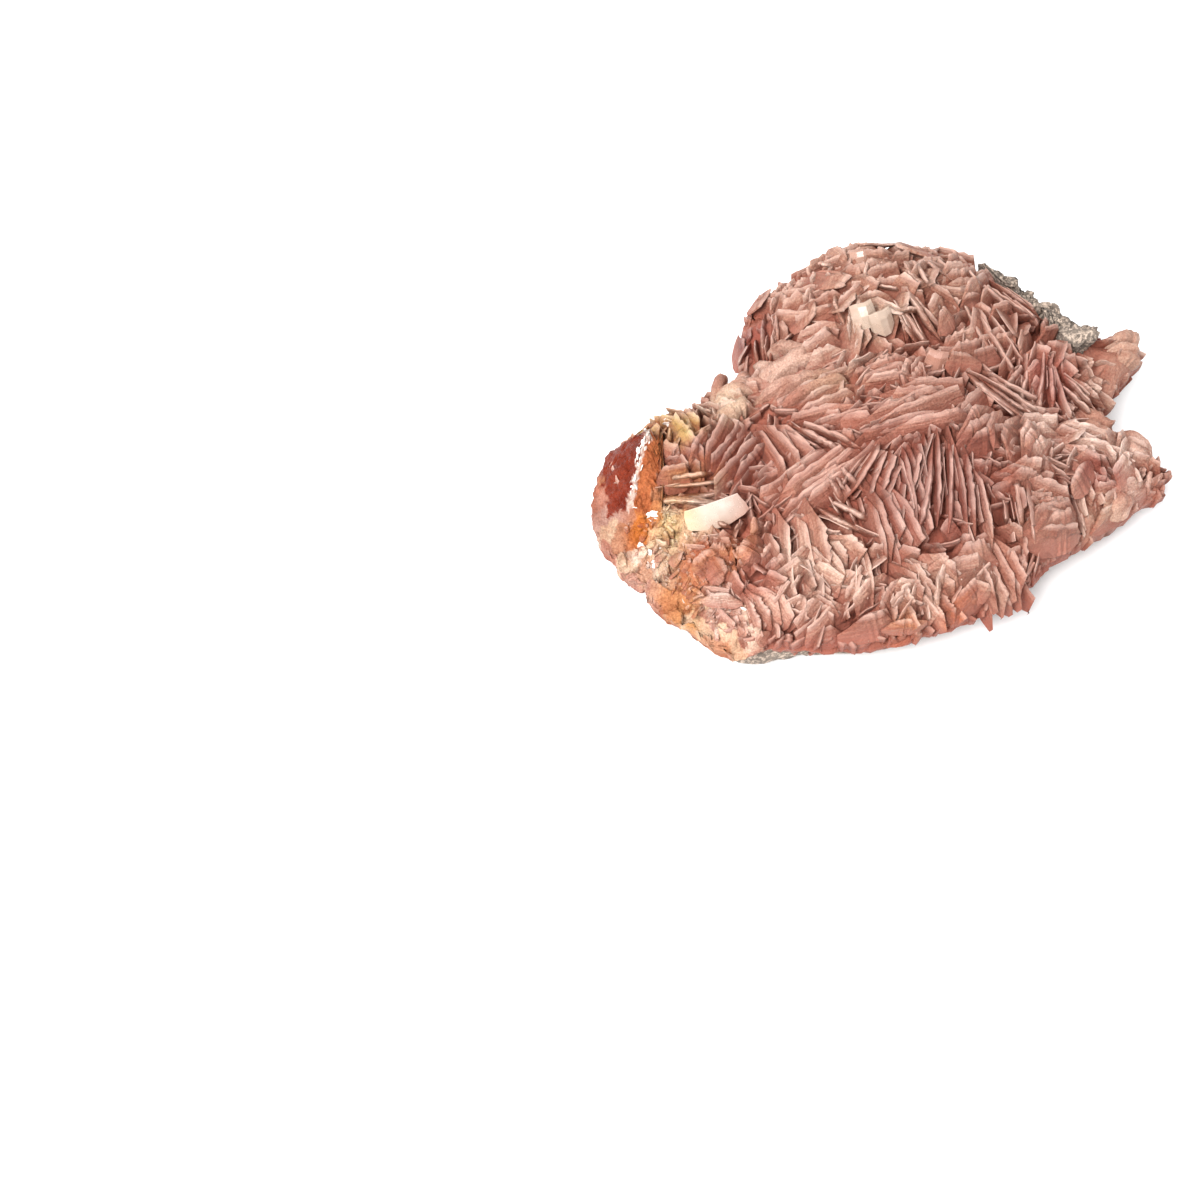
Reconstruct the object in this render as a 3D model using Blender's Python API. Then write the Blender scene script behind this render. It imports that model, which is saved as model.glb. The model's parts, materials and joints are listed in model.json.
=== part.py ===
"""Barite: a hand specimen of pink crested blades grown together on a piece of grey-brown host rock.

Two pieces: the host rock with a flat cut under it, and the barite, one crust of blades fused with
its own massive layer. The origin is on the resting plane, under the middle of the specimen.
Lists are in millimetres, as read off the specimen; the meshes are in metres.
"""
import math
import random

import bmesh
import bpy
from mathutils import Vector

MM = 0.001
SEED = 6

# How the layers lie on each other, mm
RIM_CREST = 11.0        # height of the blades' crests at the rim
DOME_RISE = 8.0         # how much higher they stand in the middle
DOME_POWER = 5.0        # how late the dome falls off towards the rim
STAND = 4.6             # how far the blades stand proud of the massive layer
LAYER = 6.5             # thickness of the massive layer
RIM_LAYER = 3.0         # the same at the rim
RIM_FALL = 1.5          # how much further the layer rounds off at the rim
RIM_FALL_POWER = 6      # how late it does so
THINNING_POWER = 3      # how late the layer thins towards the rim
LOWEST_SEAT = 1.6       # the least height of the layer's underside
GAP = 0.3               # parting between the barite and the rock
ROOT = 1.5              # how deep a blade is rooted in the massive layer

# Outline of the barite in plan, mm, anticlockwise from the left end
OUTLINE = [
    (-55, -8), (-51, -20), (-45, -26), (-37, -35), (-29, -42), (-17, -43), (-3, -42), (6, -40),
    (13, -37), (19, -34), (27, -27), (32, -23), (40, -18), (47, -13), (53, -9), (54, -4), (46, 2),
    (43, 8), (46, 13), (52, 19), (52, 25), (45, 25), (38, 24), (33, 28), (29, 34), (26, 40), (21, 45),
    (6, 45), (-3, 46), (-13, 42), (-20, 37), (-25, 32), (-26, 23), (-27, 16), (-32, 14), (-38, 8),
    (-47, 5), (-52, -1)]

# Outline of the rock: it shows past the barite along the lower left and at the upper right
ROCK_OUTLINE = [
    (-53, -8), (-52, -20), (-47, -28), (-39, -37), (-30, -44), (-16, -42), (0, -40), (12, -35),
    (25, -26), (39, -16), (49, -8), (43, 2), (41, 10), (49, 20), (48, 28), (40, 33), (33, 39),
    (27, 44), (16, 43), (0, 43), (-14, 38), (-23, 30), (-24, 20), (-34, 11), (-47, 3)]
BASE_SHRINK = 0.84      # the flat cut under the rock, as a part of its outline
ROCK_LUMPS = 0.6        # unevenness of the rock's sides, mm
ROCK_LIP = 0.94         # where its edge begins to fall away, as a part of its outline
ROCK_EDGE = 0.98        # where its side begins
EDGE_HEIGHT = (0.55, 0.75)      # heights of edge and side against the lip, from and to
SIDE_HEIGHT = (0.25, 0.4)
LEAST_EDGE = 0.9
LEAST_SIDE = 0.5
BASE_RING = 0.4         # an inner ring of the flat cut

# Rings of the massive layer, as parts of its outline: underside, rim and top
LAYER_RINGS = (0.16, 0.45, 0.66, 0.82)
RIM_PART = 0.985
TOP_RINGS = (0.93, 0.8, 0.6, 0.35, 0.12)

# Swellings of the specimen: x, y, rise, width
SWELLINGS = [(4, -8, 10, 22), (0, 32, 8, 20), (-32, -8, 2, 14), (46, 18, 3, 10), (30, 26, 5, 13)]

# Sheaves of blades: the two ends of the middle blade's crest, how many blades, their spacing,
# how much each turns against the last and how far the blades lean, in mm and degrees
SHEAVES = [
    # upper left of the middle, arcs that run up to the right
    (-21, -1, -8, 3, 4, 3.0, 5, -18), (-24, -2, -17, -13, 2, 4.2, 8, -18),
    (-20, -3, -10, -11, 2, 1.9, 6, -18), (-25, -19, -11, -11, 3, 2.7, 2, -18),
    (-19, -19, -7, -9, 2, 1.9, 3, -18),
    # left arm
    (-34, -13, -27, -3, 4, 2.7, 3, -18), (-44, -15, -32, -16, 3, 2.4, 4, -18),
    (-37, -20, -27, -18, 1, 2.6, 0, 50), (-42, -9, -36, -8, 2, 2.8, 8, 42),
    (-38, -2, -34, -11, 1, 2.0, 5, 3), (-39, 5, -36, -1, 2, 2.1, 8, 1),
    (-46, 5, -48, -16, 3, 2.7, 0, 3), (-44, 4, -42, -7, 2, 2.1, 4, 1),
    # lower left
    (-35, -26, -31, -27, 1, 3.2, 12, -18), (-30, -28, -26, -25, 2, 2.5, 8, -18),
    (-26, -30, -21, -26, 1, 2.2, 5, -18), (-35, -33, -28, -35, 2, 2.8, 6, 46),
    (-42, -20, -37, -25, 1, 3.2, 10, 40), (-27, -33, -23, -39, 2, 3.8, 6, -18),
    (-20, -42, -14, -37, 2, 4.2, 6, -18), (-22, -33, -18, -40, 2, 2.1, 6, 3),
    (-17.5, -20, -16, -34, 2, 6.1, 2, 6), (-13, -15, -10, -20, 2, 3.6, 4, -18),
    (-15, -21, -8, -25, 1, 1.7, 3, -18), (-13, -26, -9, -31, 2, 3.8, 6, -18),
    (-12, -37, -7, -31, 1, 2.2, 5, -18), (-12, -42, -3, -41, 3, 2.3, 5, -18),
    # the two fans in the middle
    (-8, -20, -3, -11, 3, 2.8, -8, -12), (-5, -16, 0, -29, 2, 3.8, 5, 1),
    (0, -12, 3, -27, 1, 2.0, 3, -3), (7, -27, 7, -11, 6, 2.4, 5, 0),
    (9, -8, 17, -1, 3, 3.3, 6, -18),
    # long thin blades above them
    (-7, -7, 9, -2, 3, 2.7, 3, -18), (-2, 0, 10, 1, 2, 3.4, -3, -18), (-7, 5, 3, 8, 2, 4.0, 6, -18),
    (0, 1, 4, 9, 1, 1.9, 5, 6), (14, 6, 25, -1, 3, 2.8, 4, -18), (16, 24, 22, 10, 2, 4.4, 3, -14),
    (26, 2, 28, 13, 4, 2.9, -12, -3), (9, 13, 16, 16, 1, 2.6, 8, -18),
    (10, 11, 16, 11, 1, 2.4, 0, 50), (2, 24, 7, 14, 3, 3.0, 6, -17), (-6, 11, -6, 24, 2, 2.5, 5, 5),
    # right arm
    (44, 18, 52, 17, 4, 2.9, 2, -18), (33, 9, 40, 4, 3, 2.5, 5, -18),
    (21, -3, 31, -1, 1, 1.8, 3, -18), (30, -3, 42, -6, 2, 4.9, 5, -18),
    (34, -9, 37, -17, 3, 3.0, 4, 0), (29, -15, 33, -8, 2, 2.5, 5, 42),
    (37, -18, 46, -12, 3, 2.8, 3, -18), (18, -13, 25, -12, 2, 2.1, 3, -18),
    (22, -17, 33, -17, 2, 4.0, -4, -18), (21, -23, 31, -19, 3, 2.8, 4, -18),
    (19, -10, 23, -3, 3, 2.8, 6, 7), (19, -15, 20.5, -23, 2, 1.9, 4, -17),
    # lower right
    (14, -26, 20, -36, 3, 3.0, 3, -18), (6, -30, 14, -28, 3, 1.5, 3, -18),
    (7, -37, 14, -32, 1, 2.4, 4, -18), (12, -35, 17, -38, 2, 3.8, 5, -18),
    (-1, -31, 4, -37, 3, 2.0, 4, -18), (4, -34, 9, -40, 2, 2.0, 4, -18),
    (8, -38, 14, -40, 1, 1.8, 5, -18), (-5, -37, -1, -33, 2, 1.9, 6, -18),
    (-8, -28, -7, -37, 1, 2.3, 3, -2), (-4, -39, 4, -42, 2, 2.7, 5, 40),
    (24, -25, 22, -32, 3, 2.0, 4, 1), (4, -30, 10, -34, 2, 1.9, 3, -18),
    # the lobe at the back
    (-18, 13, -9, 16, 1, 3.0, 5, -18), (-18, 20, -9, 22, 2, 2.8, 5, -18),
    (-19, 26, -11, 30, 2, 5.3, 6, -18), (-25, 9, -20, 16, 2, 2.8, 10, -18),
    (-32, 9, -26, 6, 3, 2.8, 10, -18), (5, 36, 14, 40, 2, 4.6, 5, -18),
    (13, 42, 21, 39, 2, 4.2, 5, -18), (-12, 36, -4, 40, 3, 2.3, 6, -18),
    (-5, 42, 3, 42, 1, 2.4, 6, -18), (10, 30, 20, 34, 2, 4.4, 4, -18),
    (20, 30, 26, 23, 3, 2.2, 4, -18), (3, 32, 8, 26, 2, 2.3, 6, -18),
    (-23, 18, -22, 28, 2, 4.2, 5, 0), (-21, 31, -17, 36, 3, 2.1, 5, -18),
    (-6, 28, 2, 31, 2, 5.3, 8, -18)]

# Single blades between the sheaves: their grid, how far out, how clear of others, their lengths
FILL_STEP = 6.5
FILL_STRAY = 0.3
FILL_STEPS = 9
FILL_REACH = 0.88
FILL_CLEAR = 5.0
FILL_LENGTH = (7.0, 10.0)
FILL_HEADING = (-60, 100)
FILL_LEAN = (-25, 15)

# A blade: a lens with a sharp edge all round. Its outline as parts of its length, along and down
BLADE_THICK = 1.9
BLADE_EDGE = [(0.5, 0.3), (0.22, 0.02), (-0.25, 0.04), (-0.5, 0.32)]
HUB_DOWN = 0.55         # where a blade is thickest, as a part of its depth
ROOT_WIDTH = 0.3
LENGTHS = (0.98, 1.22)  # the blades' lengths against their sheaf's
STRAY_TURN = 2.0        # degrees that a blade strays from its sheaf's order
STRAY_ALONG = 0.06      # and how far along, as a part of its length
OPENING = 4.0           # degrees that each blade of a sheaf leans out more than the one before
STEEPEST = 0.5          # the most that a crest rises along its length
ROOT_REACH = 0.9        # how far out a root may lie, as a part of the outline

FLAT_ANGLE = math.radians(0.8)  # neighbouring faces closer than this count as one flat
BARITE_COLOUR = (0.62, 0.33, 0.27)
BARITE_ROUGHNESS = 0.55
ROCK_COLOUR = (0.30, 0.25, 0.22)
ROCK_ROUGHNESS = 0.9
SECTOR_ANGLES = sorted(math.atan2(y, x) % math.tau for x, y in OUTLINE)


def rim_radius(angle, outline):
    """Distance of an outline from the middle in one direction, in mm."""
    turned = [(math.atan2(y, x) % math.tau, math.hypot(x, y)) for x, y in outline]
    turned.sort()
    before = max((p for p in turned if p[0] <= angle), default=(turned[-1][0] - math.tau, turned[-1][1]))
    after = min((p for p in turned if p[0] > angle), default=(turned[0][0] + math.tau, turned[0][1]))
    part = (angle - before[0]) / (after[0] - before[0])
    return before[1] + (after[1] - before[1]) * part


def reach(x, y):
    """How far out a place is: 0 in the middle and 1 at the barite's rim."""
    return math.hypot(x, y) / rim_radius(math.atan2(y, x) % math.tau, OUTLINE)


def crest_height(x, y):
    """Height of the surface in which the blades' crests lie, in mm."""
    out = min(reach(x, y), 1.0)
    height = RIM_CREST + DOME_RISE * (1 - out ** DOME_POWER)
    for place_x, place_y, rise, width in SWELLINGS:
        height += rise * math.exp(-((x - place_x) ** 2 + (y - place_y) ** 2) / width ** 2)
    return height


def layer_top(x, y):
    """Height of the massive layer that the blades stand in."""
    return crest_height(x, y) - STAND - RIM_FALL * min(reach(x, y), 1.0) ** RIM_FALL_POWER


def layer_bottom(x, y):
    """Height of the massive layer's underside."""
    out = min(reach(x, y), 1.0) ** THINNING_POWER
    return max(layer_top(x, y) - LAYER * (1 - out) - RIM_LAYER * out, LOWEST_SEAT)


def polar_solid(name, rings):
    """Close a stack of rings of (x, y, z) in mm into one solid; the first and last ring are capped."""
    mesh = bmesh.new()
    made = [[mesh.verts.new(Vector(point) * MM) for point in ring] for ring in rings]
    for low, high in zip(made, made[1:]):
        for here, _ in enumerate(low):
            mesh.faces.new((low[here - 1], low[here], high[here], high[here - 1]))
    for ring, turn in ((made[0], -1), (made[-1], 1)):
        hub = mesh.verts.new(sum((vert.co for vert in ring), Vector()) / len(ring))
        for here, _ in enumerate(ring):
            mesh.faces.new((*(ring[here - 1], ring[here])[::turn], hub))
    bmesh.ops.triangulate(mesh, faces=mesh.faces)
    bmesh.ops.recalc_face_normals(mesh, faces=mesh.faces)
    return finished_object(name, mesh)


def finished_object(name, mesh):
    """Put a mesh into the scene as an object."""
    data = bpy.data.meshes.new(name)
    mesh.to_mesh(data)
    mesh.free()
    made = bpy.data.objects.new(name, data)
    bpy.context.scene.collection.objects.link(made)
    return made


def rim_middle(x, y):
    """Half way up the massive layer's rim."""
    return (layer_bottom(x, y) + layer_top(x, y)) / 2


def ring_at(outline, part, height):
    """A ring of points at a part of an outline's radius; height is a function of the place."""
    points = []
    for angle in SECTOR_ANGLES:
        radius = rim_radius(angle, outline) * part
        x = radius * math.cos(angle)
        y = radius * math.sin(angle)
        points.append((x, y, height(x, y)))
    return points


def make_layer():
    """The massive barite under the blades: a bowl turned over, with a rounded rim."""
    rings = [ring_at(OUTLINE, part, layer_bottom) for part in LAYER_RINGS]
    rings.append(ring_at(OUTLINE, RIM_PART, rim_middle))
    rings += [ring_at(OUTLINE, part, layer_top) for part in TOP_RINGS]
    return polar_solid("barite_blades", rings)


def rock_rings(source):
    """The rock's rings from its rim inwards: base, side, edge and the lip under the barite's rim."""
    base, side, edge, lip = [], [], [], []
    for angle in SECTOR_ANGLES:
        way = Vector((math.cos(angle), math.sin(angle)))
        barite = rim_radius(angle, OUTLINE)
        rock = rim_radius(angle, ROCK_OUTLINE) + source.uniform(-ROCK_LUMPS, ROCK_LUMPS)
        lip_radius = min(RIM_PART * barite, ROCK_LIP * rock)
        part = (lip_radius / barite - LAYER_RINGS[-1]) / (RIM_PART - LAYER_RINGS[-1])
        inner = layer_bottom(*way * barite * LAYER_RINGS[-1])
        outer = rim_middle(*way * barite * RIM_PART)
        lip_height = inner + (outer - inner) * part - 2 * GAP
        lip.append((*way * lip_radius, lip_height))
        edge.append((*way * rock * ROCK_EDGE, max(lip_height * source.uniform(*EDGE_HEIGHT), LEAST_EDGE)))
        side.append((*way * rock, max(lip_height * source.uniform(*SIDE_HEIGHT), LEAST_SIDE)))
        base.append((*way * rock * BASE_SHRINK, 0.0))
    return [base, side, edge, lip]


def make_rock():
    """The host rock: flat below, 0.3 mm under the barite above, lumpy where it shows past it."""
    rings = [ring_at(ROCK_OUTLINE, BASE_RING, lambda x, y: 0.0)]
    rings += rock_rings(random.Random(SEED))
    rings += [ring_at(OUTLINE, part, lambda x, y: layer_bottom(x, y) - GAP) for part in LAYER_RINGS[::-1]]
    return polar_solid("host_rock", rings)


def blade_lines():
    """Every blade as its crest's two ends and its lean: the sheaves, then the fill between them."""
    source = random.Random(SEED)
    lines = []
    for x1, y1, x2, y2, count, spacing, fan, lean in SHEAVES:
        middle = Vector(((x1 + x2) / 2, (y1 + y2) / 2))
        along = Vector((x2 - x1, y2 - y1))
        back = square_to(along)
        for blade in range(count):
            place = blade - (count - 1) / 2
            turn = math.radians(fan * place + source.uniform(-STRAY_TURN, STRAY_TURN))
            half = turned(along / 2 * source.uniform(*LENGTHS), turn)
            centre = middle + back * spacing * place + along * source.uniform(-STRAY_ALONG, STRAY_ALONG)
            lines.append((centre - half, centre + half, lean + OPENING * place))
    return lines + fill_lines(lines, source)


def fill_lines(lines, source):
    """Single blades where no sheaf stands, turned at random."""
    taken = [start.lerp(end, part) for start, end, lean in lines for part in (0.0, 0.25, 0.5, 0.75, 1.0)]
    added = []
    for column in range(-FILL_STEPS, FILL_STEPS + 1):
        for row in range(-FILL_STEPS, FILL_STEPS + 1):
            place = Vector((column, row)) * FILL_STEP
            place += Vector((source.uniform(-1, 1), source.uniform(-1, 1))) * FILL_STEP * FILL_STRAY
            heading = math.radians(source.uniform(*FILL_HEADING))
            half = turned(Vector((source.uniform(*FILL_LENGTH) / 2, 0)), heading)
            lean = source.uniform(*FILL_LEAN)
            if reach(*place) > FILL_REACH or min((place - other).length for other in taken) < FILL_CLEAR:
                continue
            added.append((place - half, place + half, lean))
            taken.append(place)
    return added


def turned(vector, angle):
    """A plan vector turned anticlockwise."""
    cosine, sine = math.cos(angle), math.sin(angle)
    return Vector((vector.x * cosine - vector.y * sine, vector.x * sine + vector.y * cosine))


def square_to(vector):
    """The unit vector square to a plan vector, on its side away from the front."""
    side = Vector((-vector.y, vector.x)).normalized()
    return side if side.y > 0 else -side


def add_blade(mesh, start, end, lean):
    """One blade as a closed lens; sizes in mm."""
    middle = (start + end) / 2
    along = end - start
    length = along.length
    rise = crest_height(*end) - crest_height(*start)
    slope = max(-STEEPEST, min(STEEPEST, rise / length))
    heading = Vector((along.x / length, along.y / length, slope)).normalized()
    back = square_to(along)
    tilt = math.radians(lean)
    down = Vector((-back.x * math.sin(tilt), -back.y * math.sin(tilt), -math.cos(tilt)))
    thick_way = heading.cross(down).normalized()
    crest = Vector((middle.x, middle.y, crest_height(*middle)))
    depth = (STAND + ROOT) / math.cos(tilt)
    edge = [crest + heading * part * length + down * drop * length for part, drop in BLADE_EDGE]
    foot = ROOT_WIDTH * length
    edge += [kept_inside(crest + heading * side + down * depth) for side in (-foot, foot)]
    hub = crest + down * depth * HUB_DOWN
    rim = [mesh.verts.new(point * MM) for point in edge]
    for side in (-0.5, 0.5):
        swell = mesh.verts.new((hub + thick_way * side * BLADE_THICK) * MM)
        for here, there in zip(rim, rim[1:] + rim[:1]):
            mesh.faces.new((here, there, swell) if side > 0 else (there, here, swell))


def kept_inside(point):
    """A root's point moved in until it lies within the massive layer."""
    out = reach(point.x, point.y)
    if out > ROOT_REACH:
        point = Vector((point.x * ROOT_REACH / out, point.y * ROOT_REACH / out, point.z))
    ground = layer_top(point.x, point.y)
    return Vector((point.x, point.y, min(max(point.z, ground - ROOT), ground - ROOT / 2)))


def make_blade(start, end, lean):
    """One blade as an object of its own, hidden from renders, to be joined to the layer."""
    mesh = bmesh.new()
    add_blade(mesh, start, end, lean)
    bmesh.ops.recalc_face_normals(mesh, faces=mesh.faces)
    blade = finished_object("blade", mesh)
    blade.hide_render = True
    blade.display_type = "WIRE"
    return blade


def grow_on(layer, blade):
    """Fuse one blade with the barite. EXACT drops parts of these thin crossing blades."""
    join = layer.modifiers.new("grown together", "BOOLEAN")
    join.operation = "UNION"
    join.solver = "MANIFOLD"
    join.object = blade
    evaluated = layer.evaluated_get(bpy.context.evaluated_depsgraph_get())
    mesh = bmesh.new()
    mesh.from_mesh(evaluated.to_mesh())
    layer.modifiers.remove(join)
    mesh.to_mesh(layer.data)
    mesh.free()
    bpy.data.objects.remove(blade, do_unlink=True)


def solid_through(layer):
    """Fill the pockets that close between blades, and make one face of each flat."""
    mesh = bmesh.new()
    mesh.from_mesh(layer.data)
    shells = shells_of(mesh)
    outer = max(shells, key=len)
    pockets = [face for shell in shells if shell is not outer for face in shell]
    bmesh.ops.delete(mesh, geom=pockets, context="FACES")
    bmesh.ops.dissolve_limit(mesh, angle_limit=FLAT_ANGLE, verts=mesh.verts, edges=mesh.edges)
    bmesh.ops.triangulate(mesh, faces=mesh.faces)
    mesh.to_mesh(layer.data)
    mesh.free()


def shells_of(mesh):
    """The faces of a mesh sorted into connected shells."""
    left = set(mesh.faces)
    shells = []
    while left:
        todo = [left.pop()]
        shell = []
        while todo:
            face = todo.pop()
            shell.append(face)
            beside = {other for edge in face.edges for other in edge.link_faces} & left
            left -= beside
            todo.extend(beside)
        shells.append(shell)
    return shells


def dressed(made, name, colour, roughness):
    """Give an object its own plain material."""
    material = bpy.data.materials.new(name)
    material.use_nodes = True
    shader = material.node_tree.nodes["Principled BSDF"]
    shader.inputs["Base Color"].default_value = (*colour, 1.0)
    shader.inputs["Roughness"].default_value = roughness
    made.data.materials.append(material)


def main():
    """Clear the scene, grow the barite blade by blade and lay the rock under it."""
    for old in list(bpy.data.objects):
        bpy.data.objects.remove(old, do_unlink=True)
    barite = make_layer()
    for start, end, lean in blade_lines():
        grow_on(barite, make_blade(start, end, lean))
    solid_through(barite)
    dressed(barite, "pink barite", BARITE_COLOUR, BARITE_ROUGHNESS)
    dressed(make_rock(), "grey brown rock", ROCK_COLOUR, ROCK_ROUGHNESS)


main()
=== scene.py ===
"""Barite: the visual of a hand specimen of pink crested blades on grey-brown host rock.

The crust is grown blade by blade from sheaves that were read off the specimen, with smaller
blades between them and round the rim. Lists are in millimetres and degrees; meshes are in metres,
in the part's own frame.
"""
import json
import math
import random
from collections import namedtuple

import bmesh
import bpy
import numpy as np
from bpy.props import FloatProperty, FloatVectorProperty, IntProperty, PointerProperty
from mathutils import Matrix, Vector, noise

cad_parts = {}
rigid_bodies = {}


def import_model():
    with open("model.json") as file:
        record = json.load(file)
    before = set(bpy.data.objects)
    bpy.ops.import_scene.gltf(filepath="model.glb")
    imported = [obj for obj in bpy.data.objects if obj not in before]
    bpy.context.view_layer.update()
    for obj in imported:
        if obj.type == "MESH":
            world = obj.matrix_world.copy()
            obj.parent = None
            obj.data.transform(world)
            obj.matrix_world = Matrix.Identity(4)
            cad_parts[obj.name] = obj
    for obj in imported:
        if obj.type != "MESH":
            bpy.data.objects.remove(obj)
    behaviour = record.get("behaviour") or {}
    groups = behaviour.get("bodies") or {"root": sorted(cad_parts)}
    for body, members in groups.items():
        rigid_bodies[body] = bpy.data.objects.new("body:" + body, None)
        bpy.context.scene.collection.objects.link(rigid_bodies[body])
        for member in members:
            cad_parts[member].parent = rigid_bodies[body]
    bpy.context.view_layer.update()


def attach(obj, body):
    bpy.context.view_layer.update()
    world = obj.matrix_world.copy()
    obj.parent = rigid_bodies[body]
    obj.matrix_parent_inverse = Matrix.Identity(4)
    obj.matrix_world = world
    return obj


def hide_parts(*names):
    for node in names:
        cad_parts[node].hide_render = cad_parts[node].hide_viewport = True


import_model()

bl_info = {
    "name": "Barite specimen",
    "version": (1, 0, 0),
    "blender": (4, 5, 0),
    "location": "View3D > Sidebar > Barite",
    "description": "Grows a crust of crested barite blades on a piece of host rock",
    "category": "Add Mesh",
}

MM = 0.001

# How the layers lie on each other, mm, as in the solids
RIM_CREST = 11.0
DOME_RISE = 8.0
DOME_POWER = 5.0
STAND = 4.6
LAYER = 6.5
RIM_LAYER = 3.0
RIM_FALL = 1.5
RIM_FALL_POWER = 6
THINNING_POWER = 3
LOWEST_SEAT = 1.6
GAP = 0.3
FARTHEST = 58.0                 # no place of the specimen lies farther from the middle
ROUGHNESS_SEED = 6

# Outline of the barite in plan, mm, anticlockwise from the left end
OUTLINE = [
    (-55, -8), (-51, -20), (-45, -26), (-37, -35), (-29, -42), (-17, -43), (-3, -42), (6, -40),
    (13, -37), (19, -34), (27, -27), (32, -23), (40, -18), (47, -13), (53, -9), (54, -4), (46, 2),
    (43, 8), (46, 13), (52, 19), (52, 25), (45, 25), (38, 24), (33, 28), (29, 34), (26, 40), (21, 45),
    (6, 45), (-3, 46), (-13, 42), (-20, 37), (-25, 32), (-26, 23), (-27, 16), (-32, 14), (-38, 8),
    (-47, 5), (-52, -1)]
ROCK_OUTLINE = [
    (-53, -8), (-52, -20), (-47, -28), (-39, -37), (-30, -44), (-16, -42), (0, -40), (12, -35),
    (25, -26), (39, -16), (49, -8), (43, 2), (41, 10), (49, 20), (48, 28), (40, 33), (33, 39),
    (27, 44), (16, 43), (0, 43), (-14, 38), (-23, 30), (-24, 20), (-34, 11), (-47, 3)]
BASE_SHRINK = 0.84
MASSIVE_WALL = (0.9, 0.965)     # the massive layer's side: parts of the radius at its foot and top
# The rock's rounded foot: parts of the radius and heights
ROCK_FOOT = [(0.90, 0.5), (0.925, 1.3), (0.93, 2.2)]

# Swellings of the specimen: x, y, rise, width
SWELLINGS = [(4, -8, 10, 22), (0, 32, 8, 20), (-32, -8, 2, 14), (46, 18, 3, 10), (30, 26, 5, 13)]

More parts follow.
